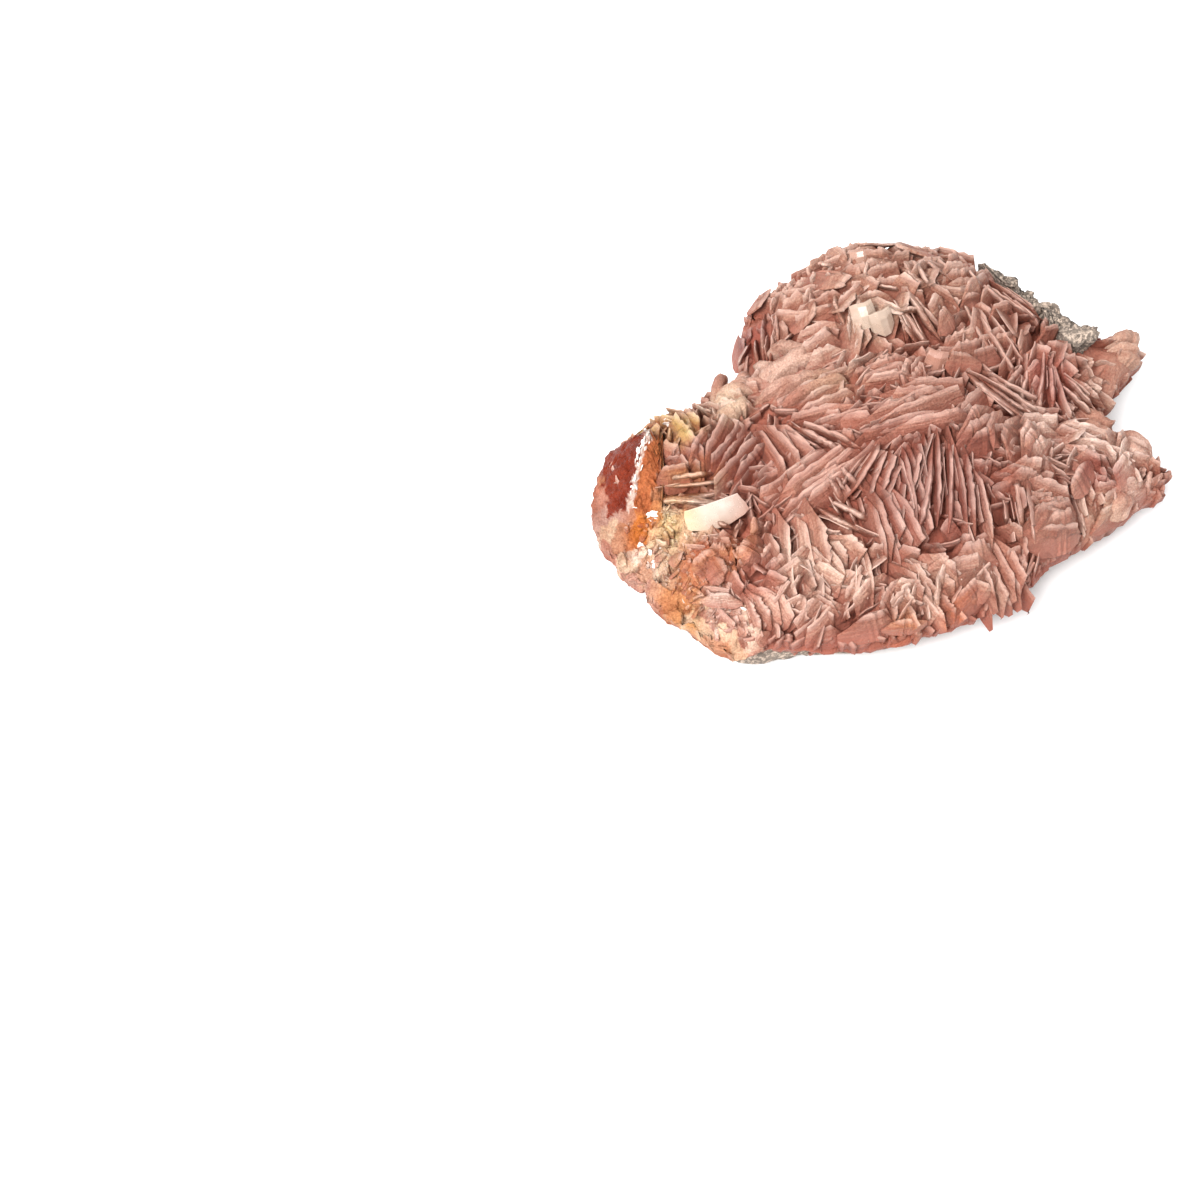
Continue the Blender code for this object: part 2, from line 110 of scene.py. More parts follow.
# Sheaves of blades: the two ends of the middle blade's crest, how many blades, their spacing,
# how much each turns against the last and how far the blades lean
SHEAVES = [
    # upper left of the middle, arcs that run up to the right
    (-21, -1, -8, 3, 5, 2.4, 5, 34), (-24, -2, -17, -13, 3, 2.2, 8, 26),
    (-20, -3, -10, -11, 2, 2, 6, -24), (-25, -19, -11, -11, 4, 1.9, 2, 30),
    (-19, -19, -7, -9, 2, 2, 3, 30),
    # left arm
    (-34, -13, -27, -3, 5, 2.1, 3, 24), (-44, -15, -32, -16, 4, 1.7, 4, -34),
    (-38, -2, -34, -11, 2, 2, 5, 26), (-39, 5, -36, -1, 2, 2.2, 8, 20), (-44, 4, -42, -7, 2, 2.2, 4, 20),
    # lower left
    (-35, -26, -31, -27, 2, 3.2, 12, 34), (-30, -28, -26, -25, 2, 2.6, 8, 30),
    (-26, -30, -21, -26, 2, 2.2, 5, 30), (-27, -33, -23, -39, 3, 2, 6, 22),
    (-20, -42, -14, -37, 3, 2.2, 6, 28), (-22, -33, -18, -40, 2, 2.2, 6, 26),
    (-17.5, -20, -16, -34, 3, 3.2, 2, 34), (-13, -15, -10, -20, 3, 1.9, 4, -28),
    (-15, -21, -8, -25, 2, 1.7, 3, -34), (-13, -26, -9, -31, 3, 2, 6, 24),
    (-12, -37, -7, -31, 2, 2.2, 5, 24), (-12, -42, -3, -41, 3, 2.4, 5, 30),
    # the two fans in the middle
    (-8, -20, -3, -11, 4, 2, -8, -20), (-5, -16, 0, -29, 3, 2, 5, 20), (0, -12, 3, -27, 2, 2, 3, 8),
    (7, -27, 7, -11, 7, 2.1, 5, 0), (9, -8, 17, -1, 4, 2.3, 6, 38),
    # long thin blades above them
    (-7, -7, 9, -2, 4, 1.9, 3, 28), (-2, 0, 10, 1, 3, 1.8, -3, 34), (-7, 5, 3, 8, 3, 2.1, 6, 30),
    (0, 1, 4, 9, 2, 1.9, 5, 34), (14, 6, 25, -1, 4, 2, 4, -28), (16, 24, 22, 10, 3, 2.3, 3, -24),
    (26, 2, 28, 13, 5, 2.3, -12, 8), (9, 13, 16, 16, 2, 2.6, 8, 38), (2, 24, 7, 14, 4, 2.1, 6, -28),
    (-6, 11, -6, 24, 2, 2.6, 5, 32),
    # right arm
    (33, 9, 40, 4, 3, 2.6, 5, -20), (21, -3, 31, -1, 2, 1.8, 3, 30), (30, -3, 42, -6, 3, 2.6, 5, 18),
    (34, -9, 37, -17, 4, 2.1, 4, 18), (37, -18, 46, -12, 4, 2, 3, 34), (18, -13, 25, -12, 2, 2.2, 3, 28),
    (22, -17, 33, -17, 3, 2.1, -4, 30), (21, -23, 31, -19, 4, 2, 4, 34), (19, -10, 23, -3, 3, 3, 6, 36),
    (19, -15, 20.5, -23, 2, 2, 4, -28),
    # lower right
    (14, -26, 20, -36, 4, 2.1, 3, 24), (6, -30, 14, -28, 3, 1.6, 3, 36), (7, -37, 14, -32, 2, 2.4, 4, 28),
    (12, -35, 17, -38, 3, 2, 5, 28), (-1, -31, 4, -37, 3, 2.1, 4, 20), (4, -34, 9, -40, 2, 2.1, 4, 20),
    (8, -38, 14, -40, 2, 1.8, 5, 36), (-5, -37, -1, -33, 2, 2, 6, 20), (-8, -28, -7, -37, 2, 2.3, 3, 10),
    (24, -25, 22, -32, 3, 2.1, 4, 20), (4, -30, 10, -34, 2, 2, 3, 24),
    # the lobe at the back
    (-18, 13, -9, 16, 2, 3, 5, 36), (-18, 20, -9, 22, 2, 3, 5, 36), (-19, 26, -11, 30, 3, 2.8, 6, 34),
    (-25, 9, -20, 16, 2, 3, 10, 26), (-32, 9, -26, 6, 3, 3, 10, 26), (5, 36, 14, 40, 3, 2.4, 5, 32),
    (13, 42, 21, 39, 3, 2.2, 5, 28), (-12, 36, -4, 40, 3, 2.4, 6, 32), (-5, 42, 3, 42, 2, 2.4, 6, 26),
    (10, 30, 20, 34, 3, 2.3, 4, 34), (20, 30, 26, 23, 3, 2.3, 4, -24), (3, 32, 8, 26, 2, 2.4, 6, -30),
    (-23, 18, -22, 28, 3, 2.2, 5, 18), (-21, 31, -17, 36, 3, 2.2, 5, 26), (-6, 28, 2, 31, 3, 2.8, 8, 34)]
# How each blade strays from its sheaf's plan: degrees, part of the sheaf's length, degrees
STRAY_TURN = 4.0
STRAY_ALONG = 0.1
STRAY_LEAN = 5.0
STRAY_LENGTH = (0.85, 1.15)
SHEAF_REACH = 0.96              # how far out a sheaf's rows go on
SHEAF_SHOWN = 0.945             # from here outwards only the smaller blades beside them are left
SHEAF_LOWER = (-0.65, 0.6)      # how far the blades lie under the crests' surface
SHEAF_THICK = (0.8, 1.25)
OPENING = 5.0                   # how much more each blade of a sheaf leans than the last
STEEPEST = 0.5
# Towards the rim the blades are pulled in, stand up, get shallower and lie lower; less so at the back
RIM_START = 0.82
RIM_PULL = 0.03
RIM_UPRIGHT = 0.75
RIM_SHALLOW = 0.3
RIM_LOWER = 0.5
BACK_START = 20
BACK_SHARE = 0.3

# Colours by place: x, y, reach in mm, sRGB colour and gloss. Later zones lie over earlier ones
BASE_TONE = (204, 147, 128)
ZONES = [
    (-12, -6, 13, (198, 138, 119), 0), (-2, 30, 22, (214, 168, 148), 0), (38, -2, 16, (250, 218, 204), 0),
    (6, -20, 13, (180, 114, 100), 0), (-30, -9, 8, (162, 88, 66), 0), (-14, -30, 9, (228, 190, 172), 0),
    (2, -36, 8, (228, 190, 172), 0), (18, -30, 9, (218, 174, 156), 0), (-8, 13, 5, (238, 210, 194), 0),
    (-28, 19, 6, (232, 204, 188), 0.1), (-20, 12, 8, (230, 196, 180), 0.1),
    (-31, 4, 6, (234, 210, 186), 0.1), (-11, 5, 5, (218, 180, 156), 0),
    (-38, -1, 4, (232, 196, 120), 0.4), (-43, 4, 5, (228, 186, 110), 0.4),
    (-38, -16, 6, (220, 160, 104), 0.2), (-33, -20, 5, (228, 212, 200), 0.5),
    (-40, -24, 6, (244, 222, 188), 0.2), (-30, -26, 5, (208, 140, 104), 0.5),
    (-36, -27, 4, (214, 142, 108), 0.6), (-39, -32, 4, (224, 160, 112), 0.4),
    (-37, -36, 3, (236, 180, 120), 0.5), (-32, -36, 4, (246, 214, 200), 0.1),
    (-47, -27, 5, (250, 230, 220), 0.1), (-26, -32, 4, (206, 138, 120), 0.2),
    (-52, -19, 5, (206, 176, 166), 0), (-36, -42, 4, (238, 206, 192), 0),
    (-24, -40, 5, (224, 176, 158), 0), (-41, -20, 3, (244, 222, 160), 0.4),
    (-45.5, -19, 3, (226, 138, 62), 0.8), (-24, 23, 4, (150, 76, 66), 0.3),
    (-3, 18, 5, (226, 200, 180), 0.5), (30, 8, 6, (194, 108, 92), 0.1), (45, 14, 9, (226, 190, 170), 0),
    (39, 3, 6, (216, 168, 148), 0), (36, -12, 5, (192, 110, 94), 0), (37, -19, 6, (230, 198, 178), 0),
    (10, -39, 5, (214, 128, 88), 0.1), (0, -41, 4, (220, 152, 114), 0.2),
    (22, -29, 6, (206, 144, 124), 0), (50, -8, 5, (218, 162, 140), 0), (49, 22, 6, (242, 208, 190), 0)]
GROUND_TONE = (148, 58, 32)     # the broken face at the left end
BAND_TONE = (212, 130, 82)      # the band beside it
RIDGE_TONE = (255, 246, 240)    # the white line between the two
CHUNK_TONES = [(252, 240, 222), (246, 222, 186), (214, 146, 90), (196, 120, 92)]
CHUNK_SHARE = 0.5               # how many facets take one of these tones instead of the zone's

# A blade's own outline, as parts of its length, depth and thickness
POINTED_END = ((0.1, 0.5), (0.3, 0.55))     # where an end's slope begins and how deep it falls
CUT_END = ((0.5, 0.9), (0.35, 0.8))         # the same for an end that is cut off aslant
SQUARE_END = ((0.82, 0.94), (0.15, 0.4))    # and for one that is cut off nearly square
NOTCH = 0.075                   # deepest notch in the crest
ROOT_RISE = 0.3                 # how much the root rises at the ends
TIP_THICK = 0.12                # half the thickness that is left at the ends
BOW = 0.5                       # how far the middle stands aside at most, in thicknesses
WAVE = 0.12                     # and each stretch on its own
STREAK = 0.22                   # how much the strips along a blade's face differ in thickness
THIN_SECTION = ((0.0, 0.14), (0.04, 0.5), (0.14, 0.8), (0.3, 1.0), (0.5, 1.0), (1.0, 0.8))
PETAL_SECTION = ((0.0, 0.3), (0.05, 0.65), (0.16, 0.85), (0.3, 1.0), (0.5, 1.0), (1.0, 0.8))
SOFT_SECTION = ((0.0, 0.5), (0.14, 0.9), (0.5, 1.0), (1.0, 0.8))
SMALL_SECTION = ((0.0, 0.2), (0.12, 0.75), (0.35, 1.0), (1.0, 0.8))
# Forms of blades: section, stretches of the crest, cut end, share of pointed ends, how rounded the
# ends are, and the sharpest edge that is still smooth, in degrees
Form = namedtuple("Form", "section spans cut_end pointed power crease")
THIN = Form(THIN_SECTION, 7, CUT_END, 0.55, 1.0, 14)
SMALL = Form(SMALL_SECTION, 3, CUT_END, 0.55, 1.0, 14)
PETAL = Form(PETAL_SECTION, 5, CUT_END, 0.7, 1.4, 26)
SOFT = Form(SOFT_SECTION, 5, CUT_END, 0.9, 1.8, 60)
PLATE = Form(THIN_SECTION, 3, SQUARE_END, 0.0, 1.0, 14)
BLADE_SHAPES = 24

LOBE_START = 14                 # from here backwards the sheaves are thinner and the petals stand out
# Fields of blades that stand at odds: middle, half widths, step, lengths and leans
PETAL_FIELDS = [(0, 31, 22, 13, 3.2, (5, 10), (20, 58)), (-22, 30, 6, 9, 3.4, (5, 8), (15, 50))]
PETAL_REACH = 0.93
PETAL_DEPTH = 5.4
SPLINTER_FIELDS = [
    (40, -8, 11, 7, 3.2, (4, 8), (5, 45)), (0, -34, 26, 5, 3.4, (4, 8), (5, 45)),
    (-20, -33, 9, 7, 3.4, (4, 7.5), (5, 45)), (24, -24, 8, 6, 3.4, (4, 8), (5, 45)),
    (24, 17, 12, 7, 3.2, (5, 10), (10, 45))]

# Blades that stand beside each blade of a sheaf, and those between the sheaves
BESIDE = 2
BESIDE_LENGTH = (0.45, 0.95)
BESIDE_OFFSET = (0.5, 1.1)
BESIDE_ALONG = 0.28
BESIDE_TURN = 9
BESIDE_LEAN = 6
BESIDE_LOWER = (0.3, 2.2)
BESIDE_THICK = (0.5, 0.9)
FACING = 22                     # a sheaf that leans more than this shows its faces: fewer blades beside
# Small blades that cross a sheaf's face, and how many of them stand before the foremost blade
ACROSS_SHARE = 0.3
ACROSS_FOREMOST = 3
ACROSS_OFFSET = (0.8, 3.2)
ACROSS_ALONG = 0.42
ACROSS_LEAN = 30
ACROSS_REACH = 0.92
ACROSS_TURN = (20, 75)
ACROSS_LENGTH = (3.0, 6.5)
ACROSS_LOWER = (0.8, 2.6)
ACROSS_SHALLOW = 1.5
FILL_REACH = 0.97
FILL_CLEAR = 0.9
FILL_SUNK = 2.6                 # most of the blades are left out where the massive barite rises this near
FILL_LENGTH = (3.5, 8.0)
FILL_LOWER = (0.5, 2.5)
FILL_THICK = (0.6, 1.1)
FILL_BORROW = 6.0
FILL_STRAY = 22.0
FILL_LEAN = (-30, 40)
RIM_DEPTH = 4.6
RIM_LENGTH = (2.4, 4.6)
RIM_THICK = (0.9, 1.6)
RIM_LOWEST = 0.4                # where the lowest roots end
RIM_FOOT = 3.2                  # and where the lowest crests lie
# Tiers of blades round the rim: parts of the radius and of the crests' height, outward lean and step
RIM_TIERS = [(0.95, 0.8, 22, 1.6), (0.935, 0.62, 45, 1.6), (0.92, 0.43, 62, 1.8), (0.91, 0.25, 74, 2.0)]

# Single plates: x, y, heading, lean, length, depth, thickness and how far they stand out, mm, degrees
PINK_PLATES = [
    (-40.5, -10, -5, 38, 6.5, 5.5, 1.2, 0.6), (-36.5, -6, 62, 30, 8, 5, 1.2, 0.8),
    (-33, -35, -14, 50, 7.5, 5, 1.3, 1.0), (-36, -27, 30, 46, 6, 5, 2.2, 0.5),
    (-29.5, -26.5, 62, 40, 6.5, 5.5, 2.2, 0.9), (-32, -29, 115, 44, 6, 5, 1.8, 0.6),
    (22, -7, 58, 34, 8, 6, 1.3, 0.8), (15, -6, 66, 36, 8, 5.5, 1.1, 0.8),
    (31, -12, 58, 40, 8, 5, 1.2, 0.8), (13, 10, 4, 44, 7, 5, 1.2, 0.8), (-1, -40, 8, 30, 8, 5, 1.4, 0.3),
    (9, 19, 60, 38, 6, 5, 1.0, 0.8), (17, 12, 28, 40, 7, 5, 1.0, 0.9), (-8, 24, 40, 40, 8, 6, 1.2, 0.6),
    (28, -20, 20, 40, 6, 5, 1.2, 0.4)]
CLEAR_PLATES = [
    (-33.6, -18.6, 12, 42, 11, 5.0, 0.6, 1.0), (-26.8, -23.5, 80, 20, 3.2, 3, 1.0, 1.0),
    (-5.5, 20.5, 14, 42, 4.5, 5, 1.6, 1.4), (-2.4, 18.6, 28, 34, 4.5, 5, 1.4, 1.2),
    (-4, 35.5, 6, 40, 4, 4, 1.2, 0.6), (8, 9.5, -8, 30, 4, 4, 1.0, 0.6)]

# Thick rounded blades of the pale massive barite, in rows like the sheaves
SOFT_SHEAVES = [
    (-30, 9, -27, 17, 2, 3.4, 10, -10), (-25, 8, -12, 13, 3, 3.4, 4, 14), (-22, 3, -9, 8, 2, 3.0, 4, 20),
    (-33, 3, -27, 7, 2, 3.2, 14, 10), (-24, 18, -16, 12, 2, 3.2, 8, -10), (-33, 8, -26, 9, 2, 3.0, 10, 5),
    (44, 8, 50, 14, 2, 3.0, 10, -20), (38, -14, 44, -11, 2, 2.0, 5, 30),
    (36, 4, 42, 0, 2, 3.2, 8, 10), (42, 2, 50, -3, 3, 2.6, 6, 14), (45, 20, 52, 21, 4, 2.3, 5, 16)]
SOFT_THICK = (1.6, 2.8)
SOFT_LOWER = (-0.4, 0.6)
SOFT_ROOT = 1.5
SOFT_STRETCH = 1.05

# Places where the massive barite rises almost to the crests: x, y, width and rise in mm
RAISED = [(-29, 14, 6, 3.0), (-20, 9, 7, 2.4), (46, 13, 6, 3.2), (38, 2, 5, 2.6), (37, -19, 6, 2.8),
          (50, 22, 4, 2.6), (-3, 40, 8, 1.6), (-24, 26, 4, 2.2), (48, -12, 5, 1.8)]

# Places where no pink blades grow: two ends of a strip and its half width
BARE_STRIPS = [((23, 46), (38, 18), 4.4), ((-44.5, -2), (-48, -17), 3.8), ((-52, -19), (-41, -36), 5.0),
               ((-41, -36), (-34, -43), 3.5), ((-42, -22), (-38, -31), 3.5)]

# The broken ground at the lower left: its outline, the middle it is drawn from, and its facets
BROKEN_OUTLINE = [
    (-47, 5), (-42, 3), (-42.5, -4), (-42, -11), (-41, -17), (-35, -21), (-30, -25), (-29, -31),
    (-25, -37), (-24, -42), (-29, -43), (-37, -36.5), (-45, -27.5), (-51, -21.5), (-54.5, -9), (-52, -1)]
BROKEN_MIDDLE = (-42, -22)
RIDGE = ((-44.3, -1.5), (-48.0, -17.0))
RIDGE_OUT = 1.2                 # how far the ridge stands over the crests
RIDGE_SLOPES = (0.55, 0.75)     # fall on its left and right side
# Facets of broken stone: low and high corner, step, steepest slope and highest rise
BROKEN_FACETS = ((-60, -48), (-20, 10), 2.8, 0.55, 0.9)
ROCK_FACETS = ((18, 10), (46, 48), 2.6, 0.5, 0.7)
ROCK_FACET_SEED = 3
ROCK_LUMP = 4.0                 # width of the host rock's lumps
ABOVE_CUT = 0.1                 # from here upwards it is lumpy; below, the cut stays flat
GROUND_UNDER = 1.7              # how far the broken ground lies under the crests

# Strips that are strewn with chips and with bright glints: two ends, half width and count
CHIP_STRIPS = [
    ((-42, -21), (-36, -33), 4.5, 120), ((-36, -33), (-28, -39), 4.0, 110),
    ((-34, -24), (-29, -34), 3.5, 60), ((-50, -20), (-46, -27), 2.0, 30)]
GLINT_STRIPS = [
    ((-44.6, -2.5), (-47.4, -14), 0.9, 34), ((-47, -21), (-38, -35), 2.5, 22),
    ((-33, -31), (-24, -39), 3.0, 14), ((-45, 1), (-37, 3), 1.2, 12), ((-46.5, -17), (-40, -18), 1.2, 8)]
# Each with its lengths, thicknesses and depth, and how far it turns from the strip's own way
CHIPS = (CHIP_STRIPS, (1.2, 4.0), (0.4, 1.0), 3.0, 180)
GLINTS = (GLINT_STRIPS, (0.7, 2.0), (0.12, 0.3), 1.2, 25)

# The patch of rock on the lobe's outer slope
ROCK_PATCH_OUTLINE = [
    (22.5, 43.5), (22.5, 39), (27, 33), (31, 26), (33.5, 18), (36, 15.5), (40, 18), (41, 24.5),
    (36.5, 27), (31.5, 31), (29.5, 35), (27, 40.5)]
ROCK_PATCH_MIDDLE = (31, 29)

# Camera, as it stood for the photograph
LENS = 45.0
SENSOR = 36.0
CAMERA_PLACE = (-0.053091, -0.164391, 0.238007)
CAMERA_TURN = (math.radians(30), 0.0, 0.0)


class BladeSettings(bpy.types.PropertyGroup):
    """Sizes and colours of the crested blades."""
    thickness: FloatProperty(
        name="Thickness", description="Thickness of a sheaf's blades in their middle",
        default=0.00095, min=0.0004, max=0.004, unit="LENGTH")
    stretch: FloatProperty(
        name="Length factor", description="Length of the blades against the sheaf's own length",
        default=1.2, min=0.5, max=2.0, subtype="FACTOR")
    root: FloatProperty(
        name="Root", description="How deep the blades are rooted in the massive layer",
        default=0.0022, min=0.001, max=0.004, unit="LENGTH")
    fill_step: FloatProperty(
        name="Fill step", description="Grid of the small blades between the sheaves",
        default=0.0020, min=0.0012, max=0.008, unit="LENGTH")
    seed: IntProperty(
        name="Seed", description="Seed of everything random in the blades", default=6, min=0)
    # Painted highlight: the pale colour the blades' crests are painted towards
    crest_highlight_tone: FloatVectorProperty(
        name="Crest highlight colour", description="Colour towards which the blades' crests fade",
        default=(0.58, 0.46, 0.40), min=0.0, max=1.0, subtype="COLOR")
    # Painted shade: the dark colour each blade is painted towards its root
    root_shade_tone: FloatVectorProperty(
        name="Root shade colour", description="Colour towards which the blades' roots darken",
        default=(0.36, 0.13, 0.09), min=0.0, max=1.0, subtype="COLOR")
    # Painted shade: the colour the crevices between the blades are darkened towards
    crevice_shade_tone: FloatVectorProperty(
        name="Crevice shade colour", description="Painted shade that darkens the crevices between the blades",
        default=(0.25, 0.06, 0.034), min=0.0, max=1.0, subtype="COLOR")


class MassiveSettings(bpy.types.PropertyGroup):
    """Sizes of the massive barite that the blades stand in."""
    sectors: IntProperty(name="Sectors", description="Faces round the massive layer", default=320, min=48)
    lumps: FloatProperty(
        name="Lumps", description="Height of the massive layer's lumps",
        default=0.0006, min=0.0, max=0.002, unit="LENGTH")


class RockSettings(bpy.types.PropertyGroup):
    """Sizes and colours of the host rock."""
    lumps: FloatProperty(
        name="Lumps", description="Height of the rock's lumps", default=0.0012, min=0.0, max=0.003,
        unit="LENGTH")
    tone: FloatVectorProperty(
        name="Colour", description="The rock's main colour", default=(0.19, 0.148, 0.118),
        min=0.0, max=1.0, subtype="COLOR")


class StageSettings(bpy.types.PropertyGroup):
    """The floor and the light."""
    floor_size: FloatProperty(
        name="Floor size", description="Side of the floor", default=4.0, min=0.5, unit="LENGTH")
    key_power: FloatProperty(
        name="Key light", description="Power of the soft main light in watts", default=7.8, min=0.0)
    sky: FloatProperty(
        name="Sky", description="Strength of the even light from all round", default=1.1, min=0.0)


# Shape of the specimen

def outline_table(outline):
    """An outline as angles and radii, for interpolation all the way round."""
    pairs = sorted((math.atan2(y, x) % math.tau, math.hypot(x, y)) for x, y in outline)
    angles = [angle for angle, _ in pairs]
    radii = [radius for _, radius in pairs]
    return ([angle + turn for turn in (-math.tau, 0.0, math.tau) for angle in angles], radii * 3)


BARITE_TABLE = outline_table(OUTLINE)
ROCK_TABLE = outline_table(ROCK_OUTLINE)


def rim_radius(angle, table=BARITE_TABLE):
    """Distance of an outline from the middle, in mm."""
    return np.interp(np.asarray(angle) % math.tau, *table)


def reach(x, y):
    """How far out a place is: 0 in the middle and 1 at the barite's rim."""
    return np.hypot(x, y) / rim_radius(np.arctan2(y, x))


def crest_height(x, y):
    """Height of the surface in which the blades' crests lie, in mm."""
    out = np.minimum(reach(x, y), 1.0)
    height = RIM_CREST + DOME_RISE * (1 - out ** DOME_POWER)
    for place_x, place_y, rise, width in SWELLINGS:
        height = height + rise * np.exp(-((x - place_x) ** 2 + (y - place_y) ** 2) / width ** 2)
    return height


def layer_top(x, y):
    """Height of the massive layer that the blades stand in, in mm."""
    return crest_height(x, y) - STAND - RIM_FALL * np.minimum(reach(x, y), 1.0) ** RIM_FALL_POWER


def layer_bottom(x, y):
    """Height of the massive layer's underside, in mm."""
    out = np.minimum(reach(x, y), 1.0) ** THINNING_POWER
    return np.maximum(layer_top(x, y) - LAYER * (1 - out) - RIM_LAYER * out, LOWEST_SEAT)


def flat(height):
    """A level height, as a function of the place."""
    return lambda x, y: height + 0.0 * x


def over(height, rise):
    """A height raised by some mm, as a function of the place."""
    return lambda x, y: height(x, y) + rise


def raised_top(x, y):
    """The massive layer's top, with the places where it rises almost to the crests."""
    height = layer_top(x, y)
    for place_x, place_y, width, rise in RAISED:
        height = height + rise * np.exp(-(((x - place_x) ** 2 + (y - place_y) ** 2) / width ** 2) ** 2)
    return np.minimum(height, crest_height(x, y) - 0.4)


def rock_lip(x, y):
    """Height of the rock's upper rim, half-way up the massive layer's side, in mm."""
    return (layer_bottom(x, y) + layer_top(x, y)) / 2 - 2 * GAP


def ridge_distance(x, y):
    """Distance to the left of the ridge's line, in mm, and how far along it, 0 to 1."""
    (x1, y1), (x2, y2) = RIDGE
    length = math.hypot(x2 - x1, y2 - y1)
    along_x, along_y = (x2 - x1) / length, (y2 - y1) / length
    away = (x - x1) * along_y - (y - y1) * along_x
    return away, ((x - x1) * along_x + (y - y1) * along_y) / length


def ridge_height(x, y):
    """The two slopes that meet in the ridge at the left end, in mm; low away from it."""
    away, part = ridge_distance(x, y)
    fall = np.where(away > 0, away * RIDGE_SLOPES[0], -away * RIDGE_SLOPES[1])
    beyond = np.maximum(np.abs(part - 0.5) - 0.5, 0.0) * 20
    return crest_height(x, y) + RIDGE_OUT - fall - beyond


def srgb(tone):
    """An sRGB colour of 0 to 255 as linear parts."""
    return [(part / 255 / 12.92) if part < 10.3 else ((part / 255 + 0.055) / 1.055) ** 2.4
            for part in tone]


def zone_colours(points):
    """The barite's colour and gloss at each place, from the zones; places in mm."""
    colours = np.tile(np.array([*srgb(BASE_TONE), 0.0]), (len(points), 1))
    for x, y, width, tone, gloss in ZONES:
        apart = np.hypot(points[:, 0] - x, points[:, 1] - y) / width
        part = np.exp(-apart ** 4)[:, None]
        colours = colours * (1 - part) + np.array([*srgb(tone), gloss]) * part
    return colours


def strip_distance(x, y, strip):
    """Distance of a place from a strip's middle line, less the strip's half width, in mm."""
    start, end, half = Vector(strip[0]), Vector(strip[1]), strip[2]
    place = Vector((x, y))
    along = end - start
    part = max(0.0, min(1.0, (place - start).dot(along) / along.length_squared))
    return (place - start - along * part).length - half


# Making meshes and objects

def new_object(name, mesh):
    """Put a mesh into the scene under a name."""
    made = bpy.data.objects.new(name, mesh)
    bpy.context.scene.collection.objects.link(made)
    return made


def mesh_of(name, mesh):
    """A mesh block from a bmesh."""
    data = bpy.data.meshes.new(name)
    mesh.to_mesh(data)
    mesh.free()
    return data


def polar_mesh(name, rings):
    """Close a stack of rings of equal length, in mm, into one smooth mesh with capped ends."""
    count = len(rings[0])
    places = [Vector(point) * MM for ring in rings for point in ring]
    faces = []
    for low in range(len(rings) - 1):
        for here in range(count):
            there = (here + 1) % count
            faces.append((low * count + here, low * count + there,
                          (low + 1) * count + there, (low + 1) * count + here))
    for ring, turn in ((0, -1), (len(rings) - 1, 1)):
        hub = len(places)
        places.append(sum((places[ring * count + here] for here in range(count)), Vector()) / count)
        for here in range(count):
            pair = (ring * count + here, ring * count + (here + 1) % count)
            faces.append((*pair[::turn], hub))
    data = bpy.data.meshes.new(name)
    data.from_pydata(places, [], faces)
    data.polygons.foreach_set("use_smooth", [True] * len(faces))
    mesh = bmesh.new()
    mesh.from_mesh(data)
    bmesh.ops.recalc_face_normals(mesh, faces=mesh.faces)
    mesh.to_mesh(data)
    mesh.free()
    return data


def ring_at(table, part, height, count, middle=(0.0, 0.0)):
    """A ring of points at a part of an outline's radius; height is a function of the place."""
    angles = np.arange(count) * math.tau / count
    radii = rim_radius(angles, table) * part
    x, y = middle[0] + radii * np.cos(angles), middle[1] + radii * np.sin(angles)
    return np.stack([x, y, height(x, y) * np.ones(count)], axis=1)


def points_of(data):
    """A mesh's vertices as an array, in mm."""
    places = np.empty(len(data.vertices) * 3)
    data.vertices.foreach_get("co", places)
    return places.reshape(-1, 3) / MM


def place_points(data, places):
    """Move a mesh's vertices, given in mm."""
    data.vertices.foreach_set("co", (places * MM).ravel())
    data.update()


def wall_rings(table, parts, foot, top, count, middle=(0.0, 0.0), steps=7):
    """Rings that climb a wall from its foot to its top, from one part of the radius to another."""
    return [ring_at(table, parts[0] + (parts[1] - parts[0]) * up,
                    lambda x, y: foot(x, y) + (top(x, y) - foot(x, y)) * up, count, middle)
            for up in np.linspace(0.1, 0.95, steps)]


def mound_mesh(name, outline, middle, top, foot, step=0.42):
    """A closed mound over an outline round its middle; top and foot give its heights, in mm."""
    table = outline_table([(x - middle[0], y - middle[1]) for x, y in outline])
    widest = max(table[1])
    count = int(math.tau * widest * 0.75 / step)
    rings = [ring_at(table, part, foot, count, middle) for part in np.linspace(0.1, 0.88, 8)]
    rings += wall_rings(table, (0.9, 0.99), foot, top, count, middle)
    parts = np.linspace(0.985, 0.02, int(widest / step))
    return polar_mesh(name, rings + [ring_at(table, part, top, count, middle) for part in parts])


def roughen(data, amounts, above):
    """Push a mesh's points to and fro with noise; amounts are pairs of feature size and height, in mm."""
    noise.seed_set(ROUGHNESS_SEED)      # without it the noise would differ from run to run
    places = points_of(data)
    for here, place in enumerate(places):
        if place[2] > above(place[0], place[1]):
            for size, height in amounts:
                shift = noise.noise_vector(Vector(place) / size)
                places[here] += np.array(shift) * height
    place_points(data, places)


class Facets:
    """Flat facets of broken stone: each place belongs to the nearest of some seeded middles."""

    def __init__(self, source, low, high, step, tilt, rise):
        spots = [(x + source.uniform(-0.45, 0.45) * step, y + source.uniform(-0.45, 0.45) * step)
                 for x in np.arange(low[0], high[0], step) for y in np.arange(low[1], high[1], step)]
        self.middles = np.array(spots)
        self.slopes = np.array([[source.uniform(-tilt, tilt) for _ in "xy"] for _ in spots])
        self.rises = np.array([source.uniform(-rise, rise) for _ in spots])

    def nearest(self, x, y):
        """The number of the facet that each place belongs to."""
        across = np.subtract.outer(x, self.middles[:, 0])
        along = np.subtract.outer(y, self.middles[:, 1])
        return (across ** 2 + along ** 2).argmin(axis=1)

    def height(self, x, y):
        """How far each place lies over or under the ground, in mm."""
        own = self.nearest(x, y)
        away = np.stack([x, y], axis=1) - self.middles[own]
        return self.rises[own] + (away * self.slopes[own]).sum(axis=1)


